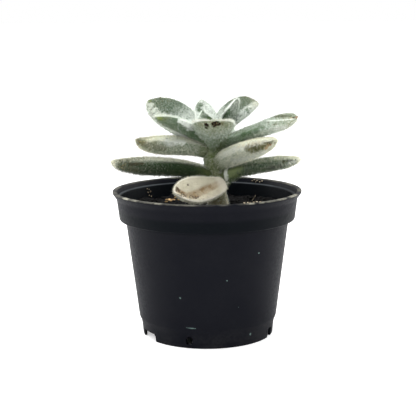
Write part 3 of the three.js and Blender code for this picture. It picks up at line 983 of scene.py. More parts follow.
LOOK = {
    "skin": MID_GREEN, "top": (0.6, 0.6), "under": (0.3, 0.5), "split": 0, "crisp": 0.25, "edge": 0.8,
    "rim": 0.9, "end": 0.2, "warm": 0.5, "freckled": 0.4, "tufts": 0.45, "speckled": 0.25, "change": 0.55,
    "shag": 1, "frost": "cool", "hair": "green hair", "paleness": 0.12, "marks": [],
}
LOOKS = {
    "leaf_low_left": {
        "skin": DEEP_GREEN, "top": (0.88, 0.45), "under": (0.01, 0.08), "split": 46, "crisp": 0.5,
        "edge": 0, "frost": "warm", "shag": 1.5, "end": 0.6, "warm": 0.4, "freckled": 0.9,
        # The hairs on its bare lower side are dark: painted shade, for a side that faces down into shade.
        "hair": "dark hair", "paleness": 0.02,
        "marks": [
            (0.91, 95, 1.8, "olive"), (0.86, 90, 1.9, "olive"), (0.8, 86, 1.9, "olive"),
            (0.74, 85, 1.8, "olive"), (0.68, 82, 1.6, "sage"), (0.84, 84, 1.2, "brown"),
            (0.91, 60, 1.5, "brown"), (0.85, 60, 1.4, "brown"), (0.8, 50, 1.3, "brown"),
            (0.9, 44, 1.2, "deep brown"), (0.865, 37, 1.3, "deep brown"),
            (0.83, 22, 1.3, "deep brown"), (0.8, 14, 1.1, "deep brown"),
            (0.77, 20, 1.5, "brown"), (0.72, 20, 1.2, "brown"),
            (0.88, 335, 2.6, "grey"), (0.8, 330, 2.8, "grey"),
        ],
    },
    "leaf_low_right": {
        "skin": DARK_GREEN, "top": (0.2, 0.64), "under": (0.11, 0.24), "split": -40, "change": 0.78,
        "edge": 0, "frost": "warm", "shag": 1.3, "end": 1.0, "freckled": 0.3, "warm": 0.15,
        "paleness": 0.15,
        "marks": [
            (0.79, 162, 1.3, "brown"), (0.84, 158, 1.4, "brown"), (0.88, 165, 1.1, "brown"),
            (0.86, 198, 1.6, "pale"), (0.92, 190, 1.4, "pale"), (0.82, 92, 1.3, "sage"),
            (0.65, 212, 2.2, "plum"), (0.74, 216, 2, "plum"), (0.19, 155, 3, "fresh green"),
            (0.17, 195, 3, "fresh green"), (0.26, 165, 2.8, "fresh green"),
            (0.13, 175, 2.6, "fresh green"), (0.2, 225, 2.4, "fresh green"),
            *[(0.2 + 0.045 * step, 68 - 1.5 * step, 1.2, "pale") for step in range(13)],
            (0.21, 88, 1.4, "white"), (0.183, 92, 1.5, "white"),
            (0.16, 95, 1.5, "white"), (0.142, 100, 1.5, "white"), (0.127, 120, 1.4, "white"),
            (0.118, 135, 1.3, "white"), (0.11, 150, 1.2, "white"), (0.1, 168, 1.2, "white"),
            (0.09, 183, 1.2, "white"), (0.08, 198, 1.2, "white"), (0.072, 212, 1.1, "white"),
            (0.065, 232, 1.1, "white"),
        ],
    },
    "leaf_mid_front_right": {
        "skin": SOFT_GREEN, "top": (0.72, 0.66), "under": (0.46, 0.6), "edge": 0.5, "rim": 0.94,
        "frost": "warm",
        "marks": [
            # Painted light: this row of pale marks lightens the lower face, which is shaded from below.
            (0.41, 232, 2.6, "pale"), (0.5, 240, 2.6, "pale"), (0.59, 245, 2.6, "pale"),
            (0.68, 250, 2.6, "pale"), (0.76, 255, 2.4, "pale"), (0.84, 258, 2, "pale"),
            (0.58, 172, 1.2, "cream"), (0.66, 171, 1.2, "cream"),
            (0.74, 176, 1.2, "cream"), (0.81, 179, 1.2, "cream"), (0.88, 181, 1.2, "cream"),
            (0.72, 200, 2.2, "olive"), (0.77, 208, 2.8, "olive"), (0.8, 212, 2, "dark olive"),
            (0.84, 214, 2.2, "dark olive"), (0.86, 222, 1.8, "dark olive"), (0.89, 214, 2.2, "olive"),
            (0.93, 212, 1.8, "olive"), (0.9, 240, 1.4, "tan"), (0.945, 228, 1.3, "tan"),
            (0.965, 215, 1.2, "brown"), (0.99, 205, 0.9, "olive"), (0.983, 277, 0.9, "olive"),
            (0.955, 238, 0.6, "rust"),
        ],
    },
    "leaf_back": {"marks": [(0.86, 80, 1.6, "brown")]},
    "leaf_back_right": {},
    "leaf_back_left": {},
    "leaf_mid_left": {
        "top": (0.82, 0.3), "under": (0.36, 0.52), "change": 0.82, "split": 15, "edge": 0,
        "frost": "warm", "shag": 1.2, "end": 0.1, "warm": 0.9, "freckled": 1.0, "paleness": 0.2,
        "marks": [
            (0.97, 110, 1.2, "brown"), (0.93, 108, 1.8, "olive"), (0.87, 95, 1.9, "olive"),
            (0.8, 75, 1.5, "dun"), (0.97, 30, 1.9, "brown"), (0.94, 10, 1.9, "brown"),
            (0.9, 25, 2.2, "olive"), (0.86, 0, 2.2, "olive"), (0.8, 350, 2.6, "dun"),
            (0.69, 342, 3.4, "dun"), (0.72, 12, 2, "sage"), (0.59, 340, 2.2, "dun"),
            (0.54, 14, 2, "pale"), (0.5, 2, 2, "pale"), (0.44, 8, 1.8, "pale"),
            # Painted highlight: this row of white marks lights the top face where the leaf above shades
            # it.
            *[(0.54 - 0.04 * step, 36 - 3 * step, 2, "white") for step in range(6)],
            *[(0.3 + 0.05 * step, 78 - 4 * step, 1.1, "white") for step in range(8)],
            (0.557, 60, 0.9, "dark"), (0.52, 67, 0.6, "dark"), (0.49, 70, 0.6, "dark"),
            (0.46, 73, 0.6, "dark"), (0.43, 76, 0.6, "dark"), (0.4, 78, 0.6, "dark"),
        ],
    },
    "leaf_mid_right": {
        "top": (0.2, 0.34), "under": (0.18, 0.56), "split": -15, "edge": 0,
        "warm": 0.6, "speckled": 0.3,
        "marks": [
            *[(0.28 + 0.06 * step, 62, 1.5, "pale") for step in range(7)],
            *[(0.42 + 0.08 * step, 220 - 6 * step, 1.5, "pale") for step in range(6)],
            (0.73, 42, 1.6, "dark olive"), (0.77, 55, 1.9, "dark olive"), (0.81, 62, 2, "dark olive"),
            (0.85, 70, 1.9, "dark olive"), (0.89, 76, 1.5, "dark olive"), (0.925, 80, 1, "green"),
            (0.36, 172, 1.8, "green"), (0.44, 165, 2, "green"), (0.52, 150, 1.9, "green"),
            (0.57, 125, 1.6, "green"), (0.6, 145, 1.3, "green"), (0.737, 132, 1.4, "olive"),
            *[(0.66 + 0.03 * step, 80 + 3.5 * step, 1.1, "white") for step in range(10)],
            (0.66, 97, 0.9, "deep brown"), (0.66, 97, 0.7, "dark"), (0.93, 98, 1.1, "tan"),
            (0.985, 118, 1.1, "rust"), (0.96, 105, 0.9, "brown"),
        ],
    },
    "leaf_upper_front_left": {
        "top": (0.8, 0.62), "under": (0.05, 0.12), "split": 27, "edge": 0,
        "warm": 0.4, "tufts": 0.6, "speckled": 0.3,
        "marks": [
            (0.985, 325, 1.1, "lime"), (0.96, 335, 1.3, "lime"), (0.92, 335, 1.4, "sage"),
            (0.7, 15, 1.1, "white"), (0.66, 12, 1.1, "white"), (0.62, 10, 1.2, "white"),
            (0.58, 10, 1.2, "white"), (0.54, 9, 1.2, "white"), (0.72, 357, 1.5, "white"),
            (0.645, 354, 1.8, "white"), (0.6, 350, 1.8, "pale"),
            (0.56, 346, 1.9, "white"), (0.5, 343, 1.8, "pale"), (0.45, 342, 1.6, "pale"),
            (0.52, 325, 1.4, "pale"), (0.63, 282, 1.1, "green"), (0.54, 283, 1.1, "green"),
        ],
    },
    "leaf_upper_front": {
        "skin": SOFT_GREEN, "top": (0.7, 0.42), "under": (0.16, 0.3), "edge": 0.7, "rim": 0.95,
        "warm": 0.8,
        "marks": [
            (0.9, 214, 1.3, "sage"), (0.95, 316, 1.3, "olive"), (0.9, 320, 1.5, "sage"),
            (0.95, 225, 1.1, "dark"), (0.94, 238, 1.2, "dark"), (0.9, 243, 0.9, "dark"),
            (0.98, 262, 1.2, "dark"), (0.958, 274, 1.4, "dark"), (0.98, 288, 1.3, "dark"),
            (0.962, 298, 1.2, "dark"),
        ],
    },
    "leaf_upper_back_left": {
        "skin": DARK_GREEN, "shag": 1.2, "top": (0.75, 0.12), "under": (0.36, 0.2), "split": 75,
        "crisp": 0.1, "end": 0, "edge": 0.7, "rim": 0.93, "speckled": 0.8, "change": 0.5, "tufts": 0.6,
        "freckled": 0.25,
        "marks": [
            (0.94, 25, 2.2, "dappled"), (0.87, 40, 2.4, "dappled"), (0.8, 40, 2.4, "dappled"),
            (0.8, 60, 1.6, "dappled"), (0.73, 50, 2.2, "dappled"), (0.9, 65, 1.8, "dappled"),
            (0.8, 0, 2.4, "dappled"), (0.74, 0, 2.2, "dappled"), (0.89, 355, 2.2, "dappled"),
            (0.66, 62, 1.5, "dappled"), (0.6, 70, 1.2, "dappled"), (0.68, 30, 2, "dappled"),
            (0.62, 45, 1.8, "dappled"), (0.975, 80, 1.2, "lime"),
            (0.906, 30, 0.5, "dark green"), (0.836, 37, 0.5, "dark green"), (0.767, 38, 0.5, "dark green"),
            (0.816, 12, 0.5, "dark green"), (0.78, 62, 0.6, "dark green"),
            (0.85, 55, 0.4, "dark green"), (0.88, 10, 0.45, "dark green"),
        ],
    },
    "leaf_upper_back_right": {
        "skin": DARK_GREEN, "top": (0.6, 0.12), "under": (0.36, 0.58), "split": -62, "crisp": 0.12,
        "edge": 0.4, "rim": 0.96, "speckled": 0.7, "warm": 0.8, "change": 0.45, "tufts": 0.6, "end": 0,
        "marks": [
            (0.92, 82, 0.55, "dark"), (0.7, 18, 1.3, "olive"), (0.78, 30, 1.3, "olive"),
            (0.64, 138, 0.9, "green"), (0.62, 165, 0.9, "green"), (0.7, 150, 0.7, "green"),
        ],
    },
    "leaf_inner_back": {
        "skin": DARK_GREEN, "top": (0.85, 0.72), "under": (0.72, 0.66), "edge": 0.9, "freckled": 0.1,
        "warm": 0.1, "speckled": 0.4, "tufts": 0.6,
        "marks": [(0.83, 68, 1.8, "green"), (0.74, 52, 2.2, "green"), (0.66, 60, 1.6, "green")],
    },
    "leaf_inner_right": {
        "skin": DARK_GREEN, "top": (0.42, 0.42), "under": (0.16, 0.3), "edge": 1.0, "rim": 0.95,
        "freckled": 0.1, "warm": 0.15, "speckled": 0.4,
        "marks": [
            (0.59, 202, 1.6, "dark green"), (0.515, 205, 1.7, "dark green"), (0.65, 212, 1.5, "green"),
            (0.965, 260, 0.9, "white"), (0.94, 285, 0.9, "white"), (0.91, 294, 0.9, "white"),
            *[(0.88 - 0.024 * step, 298 + 0.6 * step, 0.95, "white") for step in range(14)],
        ],
    },
    "leaf_inner_front": {
        "top": (0.4, 0.4), "under": (0.2, 0.28), "edge": 1.0, "rim": 0.95,
        "freckled": 0.1, "warm": 0.1,
        "marks": [
            (0.78, 312, 1.8, "green"), (0.7, 305, 1.8, "lime green"), (0.78, 222, 1.5, "pale"),
            *[(0.96 - 0.03 * step, 197 - 1.2 * step, 0.75, "white") for step in range(10)],
            *[(0.96 - 0.03 * step, 340 + 2.2 * step, 0.75, "white") for step in range(10)],
        ],
    },
    "leaf_withered": {"under": (0.6, 0.6), "frost": "warm", "hair": "cream hair", "warm": 0.3},
}
looks = {name: {**LOOK, **LOOKS[name], "leaf": leaf} for name, leaf in leaves.items()}
print("marks on the leaves:", sum(len(look["marks"]) for look in looks.values()))

# %% The rule of the frost
CHANGE_REACH = 0.2
EDGE_END = 0.99
END_CHANGE = (0.9, 1.0)
WARM_CHANGE = (0.6, 1.0)
STEM_FROST = 0.3
STEM_REACH = 0.25


def smooth(value, start, end):
    """A smooth step from 0 to 1 between start and end."""
    share = np.clip((value - start) / (end - start), 0, 1)
    return share * share * (3 - 2 * share)


def split_way(look):
    """The direction, across and facing, that the frosted face looks in."""
    return -math.sin(math.radians(look["split"])), math.cos(math.radians(look["split"]))


def frost_share(look, along, across, facing):
    """How frosted a place on a leaf is, before any noise."""
    near_tip = smooth(along, look["change"] - CHANGE_REACH, look["change"] + CHANGE_REACH)
    under = look["under"][0] + (look["under"][1] - look["under"][0]) * near_tip
    top = look["top"][0] + (look["top"][1] - look["top"][0]) * near_tip
    way = split_way(look)
    face = under + (top - under) * smooth(across * way[0] + facing * way[1], -look["crisp"], look["crisp"])
    edge = look["edge"] * smooth(np.abs(across), look["rim"], EDGE_END)
    end = look["end"] * smooth(along, *END_CHANGE)
    from_stem_on = STEM_FROST + (1 - STEM_FROST) * smooth(along, 0, STEM_REACH)
    return np.maximum(np.maximum(face, edge), end) * from_stem_on


# %% [markdown]
# ## The frosted skin
# From a step away the hairs read as a white bloom with the green showing between them, so the material
# mixes the flesh's colour with a pale one. The rule above becomes a shader group. It works on an
# attribute of the leaf: how far along a point is, how far across, and how much it faces up. Small tufts
# break the bloom up, brown freckles gather at the tip, and a sheen lights the surface where it turns away.

# %% The frost group
def frost_sockets(look):
    """What the frost group has to know of a leaf's look."""
    return {
        "Split way": (0.0, *split_way(look)),
        "Top at stem": look["top"][0], "Top at tip": look["top"][1],
        "Under at stem": look["under"][0], "Under at tip": look["under"][1],
        "Crisp": look["crisp"], "Edge": look["edge"], "Rim": look["rim"], "End": look["end"],
        "Tufts": look["tufts"], "Change": look["change"],
    }


frosting, given, result = shader_group(
    "frost of hairs", {"Place": NOWHERE, "Leaf place": NOWHERE, **frost_sockets(LOOK)}, "Mask"
)
along, across, facing = add(frosting, "SeparateXYZ", {0: given["Leaf place"]}).outputs
start = less(frosting, given["Change"], CHANGE_REACH)
stop = plus(frosting, given["Change"], CHANGE_REACH)
under = fade(frosting, along, start, stop, given["Under at stem"], given["Under at tip"])
top = fade(frosting, along, start, stop, given["Top at stem"], given["Top at tip"])
ways = {0: given["Leaf place"], 1: given["Split way"]}
towards = add(frosting, "VectorMath", ways, operation="DOT_PRODUCT").outputs["Value"]
below = times(frosting, given["Crisp"], -1.0)
face = fade(frosting, towards, below, given["Crisp"], under, top)
edge = fade(frosting, maths(frosting, "ABSOLUTE", across), given["Rim"], EDGE_END, 0.0, given["Edge"])
end = fade(frosting, along, *END_CHANGE, 0.0, given["End"])
bloom = most(frosting, face, edge, end)
slow = clouds(frosting, given["Place"], 300.0, 2.0)
bloom = times(frosting, bloom, fade(frosting, slow, 0.3, 0.7, 0.85, 1.12))
bloom = times(frosting, bloom, fade(frosting, along, 0.0, STEM_REACH, STEM_FROST, 1.0), clamp=True)
tuft = fade(frosting, clouds(frosting, given["Place"], 2500.0, 0.0), 0.38, 0.62, -0.5, 0.5)
middling = times(frosting, bloom, less(frosting, 1.0, bloom))
tuft = times(frosting, tuft, plus(frosting, times(frosting, middling, 4.0), 0.12))
tuft = times(frosting, tuft, given["Tufts"])
frosting.links.new(plus(frosting, bloom, tuft, clamp=True), result["Mask"])
print("nodes in the frost group:", len(frosting.nodes))

# %% Shades and marks
FROST = {"cool": (0.78, 0.82, 0.77), "warm": (0.8, 0.81, 0.7)}
CREAM = (0.74, 0.71, 0.55)
WHITE_HAIR = (0.88, 0.9, 0.86)
STEM_OLIVE = (0.1, 0.13, 0.045)
BRUISE_GRAIN = (0.03, 0.025, 0.01)
FRECKLE = (0.07, 0.05, 0.024)
GOLDEN_DOT = (0.34, 0.27, 0.13)
SHEEN_TINT = (0.88, 1, 0.9, 1)
CRISP_SOFTNESS = 0.3
BLURRED_SOFTNESS = 0.6
MARK_COLOURS = {
    # the colour of each kind of mark, and how strong it is
    "brown": ((0.03, 0.024, 0.009), 0.9),
    "olive": ((0.12, 0.115, 0.045), 0.75),
    "dark olive": ((0.06, 0.066, 0.026), 0.65),
    "dun": ((0.2, 0.195, 0.135), 0.6),
    "grey": ((0.12, 0.125, 0.085), 0.6),
    "plum": ((0.13, 0.11, 0.12), 0.6),
    "lime": ((0.2, 0.27, 0.05), 0.85),
    "green": ((0.045, 0.09, 0.036), 0.75),
    "dark green": ((0.018, 0.04, 0.018), 0.85),
    "lime green": ((0.1, 0.14, 0.05), 0.7),
    "fresh green": ((0.26, 0.32, 0.15), 0.75),
    "sage": ((0.18, 0.2, 0.1), 0.45),
    "deep brown": ((0.016, 0.012, 0.005), 0.95),
    "cream": ((0.6, 0.56, 0.4), 0.7),
    "tan": ((0.4, 0.28, 0.14), 0.75),
    "rust": ((0.25, 0.09, 0.03), 0.95),
    "dark": ((0.014, 0.005, 0.004), 1.0),
    "pale": ((0.55, 0.58, 0.54), 0.6),
    "white": ((0.78, 0.82, 0.76), 0.95),
    "dappled": ((0.58, 0.62, 0.54), 0.75),
}
PALE_MARKS = ("pale", "white", "cream", "dappled")
CRISP_MARKS = ("white", "dark", "rust", "tan")
GRAINY_MARKS = ("brown", "deep brown", "olive", "dark olive", "dun", "grey", "dappled")
print("kinds of marks:", len(MARK_COLOURS))


# %% The frosted skin
def leaf_place(tree):
    """The leaf place that is kept on the mesh, whole and in its three parts."""
    spot = add(tree, "Attribute", attribute_name="leaf_place").outputs["Vector"]
    return spot, add(tree, "SeparateXYZ", {0: spot}).outputs


def leaf_material(name, look):
    """Green flesh under frost, with the marks of one leaf and freckles at its tip."""
    material, tree, place, inputs = new_material(name)
    spot, (along, across, _) = leaf_place(tree)
    frost = use(tree, frosting, {"Place": place, "Leaf place": spot, **frost_sockets(look)})
    flesh = blend(tree, fade(tree, along, 0.24, 0.0), look["skin"], STEM_OLIVE)
    bloom = blend(tree, fade(tree, along, *WARM_CHANGE, 0.0, look["warm"]), FROST[look["frost"]], CREAM)
    colour = blend(tree, frost, flesh, bloom)
    colour = stain(tree, colour, dotted(tree, place, 850.0, 0.5), look["speckled"], look["skin"])
    line = fade(tree, maths(tree, "ABSOLUTE", across), look["rim"], EDGE_END, 0.0, 0.9 * look["edge"])
    colour = stain(tree, colour, line, fade(tree, along, 0.05, 0.3), WHITE_HAIR)

    bruise = 0.0
    for share, turn, radius, kind in look["marks"]:
        shade, strength = MARK_COLOURS[kind]
        soft = CRISP_SOFTNESS if kind in CRISP_MARKS else BLURRED_SOFTNESS
        middle = skin_point(look["leaf"], share, turn)
        mask = times(tree, patched(tree, place, middle, radius, 0.5, soft), strength)
        colour = blend(tree, mask, colour, shade)
        if kind in GRAINY_MARKS:
            bruise = most(tree, bruise, mask)
    colour = stain(tree, colour, dotted(tree, place, 1150.0, 0.5), bruise, BRUISE_GRAIN)

    at_tip = fade(tree, along, 0.7, 1.0, 0.06, look["freckled"])
    colour = stain(tree, colour, dotted(tree, place, 1250.0, 0.45), at_tip, FRECKLE)
    colour = stain(tree, colour, dotted(tree, place, 1000.0, 0.3), at_tip, GOLDEN_DOT)

    coat(tree, inputs, colour, fade(tree, frost, 0.0, 1.0, 0.7, 0.95), 0.08)
    inputs["Sheen Weight"].default_value = 0.55
    inputs["Sheen Roughness"].default_value = 0.3
    inputs["Sheen Tint"].default_value = SHEEN_TINT
    bumpy(tree, inputs, clouds(tree, place, 2200.0, 2.0), 0.1)
    return material


# %% [markdown]
# ## Build the leaves
# A leaf is made of rings as the plain solid is, only many more of them. Slow noise dents the skin by a
# fraction of a millimetre, because no leaf is a perfect shape, and the tip ends in a small point. Without
# a seed the noise would start from the clock, and each run would make other dents.

# %% Dents and rings
NOISE_SEED = 9
LEAF_RINGS = 72
LEAF_SIDES = 48
DENT_DEPTH = 0.22
DENT_WAVES = 0.16
RING_CROWDING = 1.4

noise.seed_set(NOISE_SEED)


def dented(points, seed, depth=DENT_DEPTH, waves=DENT_WAVES):
    """Points moved along slow noise, by a fraction of a millimetre."""
    shift = Vector((seed * 7.3, seed * 3.1, 0))
    moved = points.copy()
    for index, point in enumerate(points.reshape(-1, 3)):
        push = noise.noise_vector(Vector(point) * waves + shift)
        moved.reshape(-1, 3)[index] += depth * np.array(push)
    return moved


def leaf_rings(leaf, rings=LEAF_RINGS, sides=LEAF_SIDES):
    """A leaf's rings, closer towards its tip, with the share of the length and the turn of each point."""
    share = 1 - (1 - np.arange(rings) / rings) ** RING_CROWDING
    turn = np.linspace(0, 2 * math.pi, sides, endpoint=False)
    share, turn = np.meshgrid(share, turn, indexing="ij")
    return leaf_surface(leaf, share, turn), share, turn


# %% Build the leaves
def leaf_spots(share, turn):
    """How far along, across and facing up each point of a leaf's skin is, its two ends last."""
    spots = np.stack([share, np.cos(turn), np.sin(turn)], axis=-1).reshape(-1, 3)
    return np.vstack([spots, [0, 0, 0], [1, 0, 0]])


def keep_spots(piece, spots):
    """Keeps the leaf places on a piece, for its material and its hairs."""
    attribute = piece.data.attributes.new("leaf_place", "FLOAT_VECTOR", "POINT")
    attribute.data.foreach_set("vector", spots.ravel())


def leaf_piece(name, leaf, material, slot, seed):
    """One leaf's skin, dented, with a small point at its tip."""
    points, share, turn = leaf_rings(leaf)
    places = leaf_path(leaf)[1]
    ahead = places[-1] - places[-2]
    tip = places[-1] + ahead / np.linalg.norm(ahead) * leaf["point"]
    piece = closed_skin(name + "_skin", dented(points, seed), places[0], tip, material, slot, [name])
    keep_spots(piece, leaf_spots(share, turn))
    return piece


leaf_pieces = {}
for seed, (name, leaf) in enumerate(leaves.items()):
    if name == "leaf_withered":
        continue
    material = leaf_material(name.replace("_", " "), looks[name])
    leaf_pieces[name] = leaf_piece(name, leaf, material, "leaf", seed)
print("leaves built:", len(leaf_pieces))

# %% [markdown]
# ## The withered leaf
# One low leaf is dying back. It has lost its green, and a tan crease runs along it where the flesh has
# sunk. The crease is a real groove in the mesh, and the same measure places its colour.

# %% The crease
CREASE_START = -0.28
CREASE_SLOPE = 1.0
CREASE_HOOK = 2.5
CREASE_WIDTH = 0.24
CREASE_DEPTH = 0.8
CREASE_ENDS = (0.08, 0.95)
CREASE_FADE = 0.15


def crease(share, turn):
    """How deep in the crease a place on the upper face is, from 0 to 1."""
    line = np.minimum(CREASE_START + CREASE_SLOPE * share, CREASE_HOOK * (1 - share))
    opening = np.clip((share - CREASE_ENDS[0]) / CREASE_FADE, 0, 1)
    closing = np.clip((CREASE_ENDS[1] - share) / CREASE_FADE, 0, 1)
    return np.exp(-(((np.cos(turn) - line) / CREASE_WIDTH) ** 2)) * opening * closing * (np.sin(turn) > 0)


# %% The withered leaf
WITHERED_SEED = 31
DRY_CREAM = (0.96, 0.89, 0.7)
DULL_CREAM = (0.84, 0.79, 0.62)
DRY_OLIVE = (0.44, 0.4, 0.29)
CREASE_TAN = (0.36, 0.21, 0.075)
DRY_FRECKLE = (0.1, 0.06, 0.03)
DRY_SPOT = (0.08, 0.045, 0.02)
DRY_RIM_AND_PAINTED_LIGHT = (0.98, 0.94, 0.82)
DRY_SPOTS = [
    # share of the length, turn, radius
    (0.94, 102, 1), (0.91, 90, 0.9), (0.9, 75, 0.8), (0.855, 67, 1), (0.82, 55, 0.8), (0.79, 62, 0.9),
    (0.75, 50, 0.9), (0.7, 60, 0.9), (0.67, 52, 1), (0.633, 50, 0.8), (0.6, 60, 0.8), (0.74, 111, 0.7),
]


def withered_material(leaf):
    """Cream skin, a tan band along the crease, dark dry spots, a pale rim, and painted light below."""
    material, tree, place, inputs = new_material("withered leaf")
    along, across, facing = leaf_place(tree)[1]
    slow = mottled(tree, place, 260.0, 4.0)
    fine = mottled(tree, place, 1500.0, 2.0)
    line = plus(tree, times(tree, along, CREASE_SLOPE), CREASE_START)
    hook = times(tree, less(tree, 1.0, along), CREASE_HOOK)
    off = less(tree, across, maths(tree, "MINIMUM", line, hook))

    colour = blend(tree, fade(tree, off, 0.1, -0.4), DRY_CREAM, DULL_CREAM)
    colour = stain(tree, colour, slow, 0.3, DRY_OLIVE)
    upper = fade(tree, facing, 0.0, 0.3)
    band = times(tree, fade(tree, maths(tree, "ABSOLUTE", off), 0.4, 0.14), upper)
    band = times(tree, band, fade(tree, slow, 0.0, 1.0, 0.6, 1.0))
    band = times(tree, band, fade(tree, along, 0.1, 0.5, 0.5, 0.95))
    colour = blend(tree, band, colour, CREASE_TAN)
    where = times(tree, fade(tree, along, 0.3, 0.75), fade(tree, off, -0.35, 0.0))
    where = times(tree, where, upper)
    colour = stain(tree, colour, dotted(tree, place, 1000.0, 0.45), where, DRY_FRECKLE)
    for share, turn, radius in DRY_SPOTS:
        mask = patched(tree, place, skin_point(leaf, share, turn), radius, 0.7)
        colour = stain(tree, colour, mask, 0.9, DRY_SPOT)
    rim = fade(tree, maths(tree, "ABSOLUTE", across), 0.78, 0.92)
    tip = fade(tree, along, 0.95, 0.99)
    # Painted light: the face that looks down is lightened, although it lies in shade.
    painted_light_below = fade(tree, facing, 0.2, 0.0)
    foot = fade(tree, along, 0.22, 0.1, 0.0, 0.8)
    colour = stain(tree, colour, most(tree, rim, tip, painted_light_below, foot), 0.85, DRY_RIM_AND_PAINTED_LIGHT)

    coat(tree, inputs, colour, fade(tree, fine, 0.0, 1.0, 0.75, 0.95), 0.2)
    inputs["Sheen Weight"].default_value = 0.3
    bumpy(tree, inputs, plus(tree, fine, slow), 0.15)
    return material


withered = leaves["leaf_withered"]
dry_skin = withered_material(withered)
old_leaf = leaf_piece("leaf_withered", withered, dry_skin, "withered_leaf", WITHERED_SEED)
known, _, _, up = leaf_path(withered)
_, share, turn = leaf_rings(withered)
sinking = -CREASE_DEPTH * crease(share, turn)[..., None] * at(share, known, up)
for index, move in enumerate(sinking.reshape(-1, 3)):
    old_leaf.data.vertices[index].co += Vector(move) * MM
leaf_pieces["leaf_withered"] = old_leaf
print("the crease is", CREASE_DEPTH, "mm deep")

# %% [markdown]
# ## The stem
# The stem is olive and slightly knobbly where old leaves have dropped. Rings follow its leaning middle,
# wider at the soil, and noise gives the knobs. It is greener near the leaves and browner at the soil.

# %% The stem's shape
STEM_BOTTOM = 58.3
STEM_TOP = 103.5
STEM_RINGS = 64
STEM_SIDES = 40
STEM_RADIUS = 5
STEM_FLARE = 0.7
STEM_TAPER = 1.2
KNOB_SEED = 40
KNOB_DEPTH = 0.6
KNOB_WAVES = 0.25


def stem_radius(height):
    """The stem's radius at a height, with a flare at the soil and a taper in its upper half."""
    up = min(1, max(0, (height - SOIL_LEVEL) / (STEM_TOP - SOIL_LEVEL)))
    return STEM_RADIUS + STEM_FLARE * math.exp(-5 * up) - STEM_TAPER * max(0, 2 * up - 1) ** 2


# %% The stem
OLIVE = (0.085, 0.11, 0.035)
PALE_OLIVE = (0.17, 0.19, 0.09)
LEAF_OLIVE = (0.1, 0.15, 0.035)
SOIL_TAN = (0.24, 0.2, 0.12)
STEM_DOWN = (0.5, 0.52, 0.4)
DRY_STRIP_CREAM = (0.6, 0.56, 0.42)
DRY_STRIP = [
    # height, azimuth in radians, radius
    (70, -0.5, 1.2), (72, -0.45, 1.1), (74, -0.4, 1.2), (76, -0.4, 1.1), (78, -0.45, 1),
]


def stem_material():
    """Olive skin with pale down and a dry strip at the front right."""
    material, tree, place, inputs = new_material("olive stem")
    slow = mottled(tree, place, 220.0, 4.0)
    fine = mottled(tree, place, 1500.0, 2.0)
    up = add(tree, "SeparateXYZ", {0: place}).outputs["Z"]
    colour = blend(tree, slow, OLIVE, PALE_OLIVE)
    colour = blend(tree, mm_fade(tree, up, 85, 98, 0.0, 0.7), colour, LEAF_OLIVE)
    colour = blend(tree, mm_fade(tree, up, 79, 69, 0.0, 0.8), colour, SOIL_TAN)
    colour = blend(tree, fade(tree, fine, 0.2, 1.0, 0.0, 0.4), colour, STEM_DOWN)
    for height, azimuth, radius in DRY_STRIP:
        out = stem_axis(height) + stem_radius(height) * np.array([math.cos(azimuth), math.sin(azimuth), 0])
        colour = stain(tree, colour, patched(tree, place, out, radius, 0.6), 0.8, DRY_STRIP_CREAM)
    coat(tree, inputs, colour, fade(tree, fine, 0.0, 1.0, 0.75, 0.95), 0.2)
    inputs["Sheen Weight"].default_value = 0.2
    bumpy(tree, inputs, plus(tree, slow, fine), 0.2)
    return material


heights = np.linspace(STEM_BOTTOM, STEM_TOP, STEM_RINGS)
rings = [round_ring(stem_radius(height), 0, STEM_SIDES) + stem_axis(height) for height in heights]
rings = dented(np.array(rings), KNOB_SEED, KNOB_DEPTH, KNOB_WAVES)
rings[:, :, 2] = np.clip(rings[:, :, 2], STEM_BOTTOM, STEM_TOP)
ends = [stem_axis(STEM_BOTTOM), stem_axis(STEM_TOP)]
stem = closed_skin("stem_skin", rings, *ends, stem_material(), "stem", ["stem"])
print("stem faces:", len(stem.data.polygons))

# %% [markdown]
# ## The heart
# In the middle of the rosette a bud of young leaves stands on the stem's top. They use the rule of the
# big leaves, each turned a golden angle on from the last.

# %% The heart
GOLDEN_ANGLE = 137.5
HEART_LEAVES = 6
HEART_RINGS = 24
HEART_SIDES = 20
BUD = {"start": 0.6, "neck": 0.7, "broad": 0.45, "round": 1.7, "blunt": 0.85, "above": 0.4, "cup": 0.5}


def heart_leaf(index):
    """The values of one young leaf, from the oldest to the youngest."""
    age = 1 - index / (HEART_LEAVES - 1)
    return {
        **LEAF, **BUD, "height": STEM_TOP + 2.1 - age, "azimuth": 30 + GOLDEN_ANGLE * index,
        "rise": 80 - 12 * age, "level": 84 - 22 * age, "length": 5 + 4 * age, "width": 4 + 2 * age,
        "thick": 2 + 0.4 * age,
    }


bud_look = {
    **LOOK, "skin": SOFT_GREEN, "under": (0.6, 0.6), "edge": 1.0, "warm": 0.1, "leaf": heart_leaf(0),
}
shapes, spots = [], []
for index in range(HEART_LEAVES):
    leaf = heart_leaf(index)
    points, share, turn = leaf_rings(leaf, HEART_RINGS, HEART_SIDES)
    places = leaf_path(leaf)[1]
    points = np.vstack([points.reshape(-1, 3), places[:1], places[-1:]])
    shapes.append((points, skin_faces(HEART_RINGS, HEART_SIDES)))
    spots.append(leaf_spots(share, turn))
young = leaf_material("young leaves", bud_look)
heart = make_piece("heart_skin", *joined(shapes), young, "leaf", ["heart"])
keep_spots(heart, np.vstack(spots))
print("heart faces:", len(heart.data.polygons))

# %% [markdown]
# ## The hairs
# The velvet is what makes this plant. Hair curves would be easy, but a part that is kept as meshes needs
# real ones: each hair is a thin three-sided spike, rooted just under the skin and leaning towards the
# leaf's tip. They are drawn at random over the skin, evenly by area and thicker along the margins. Hairs
# on frosted skin are pale, and those on bare green or browned skin take its shade.


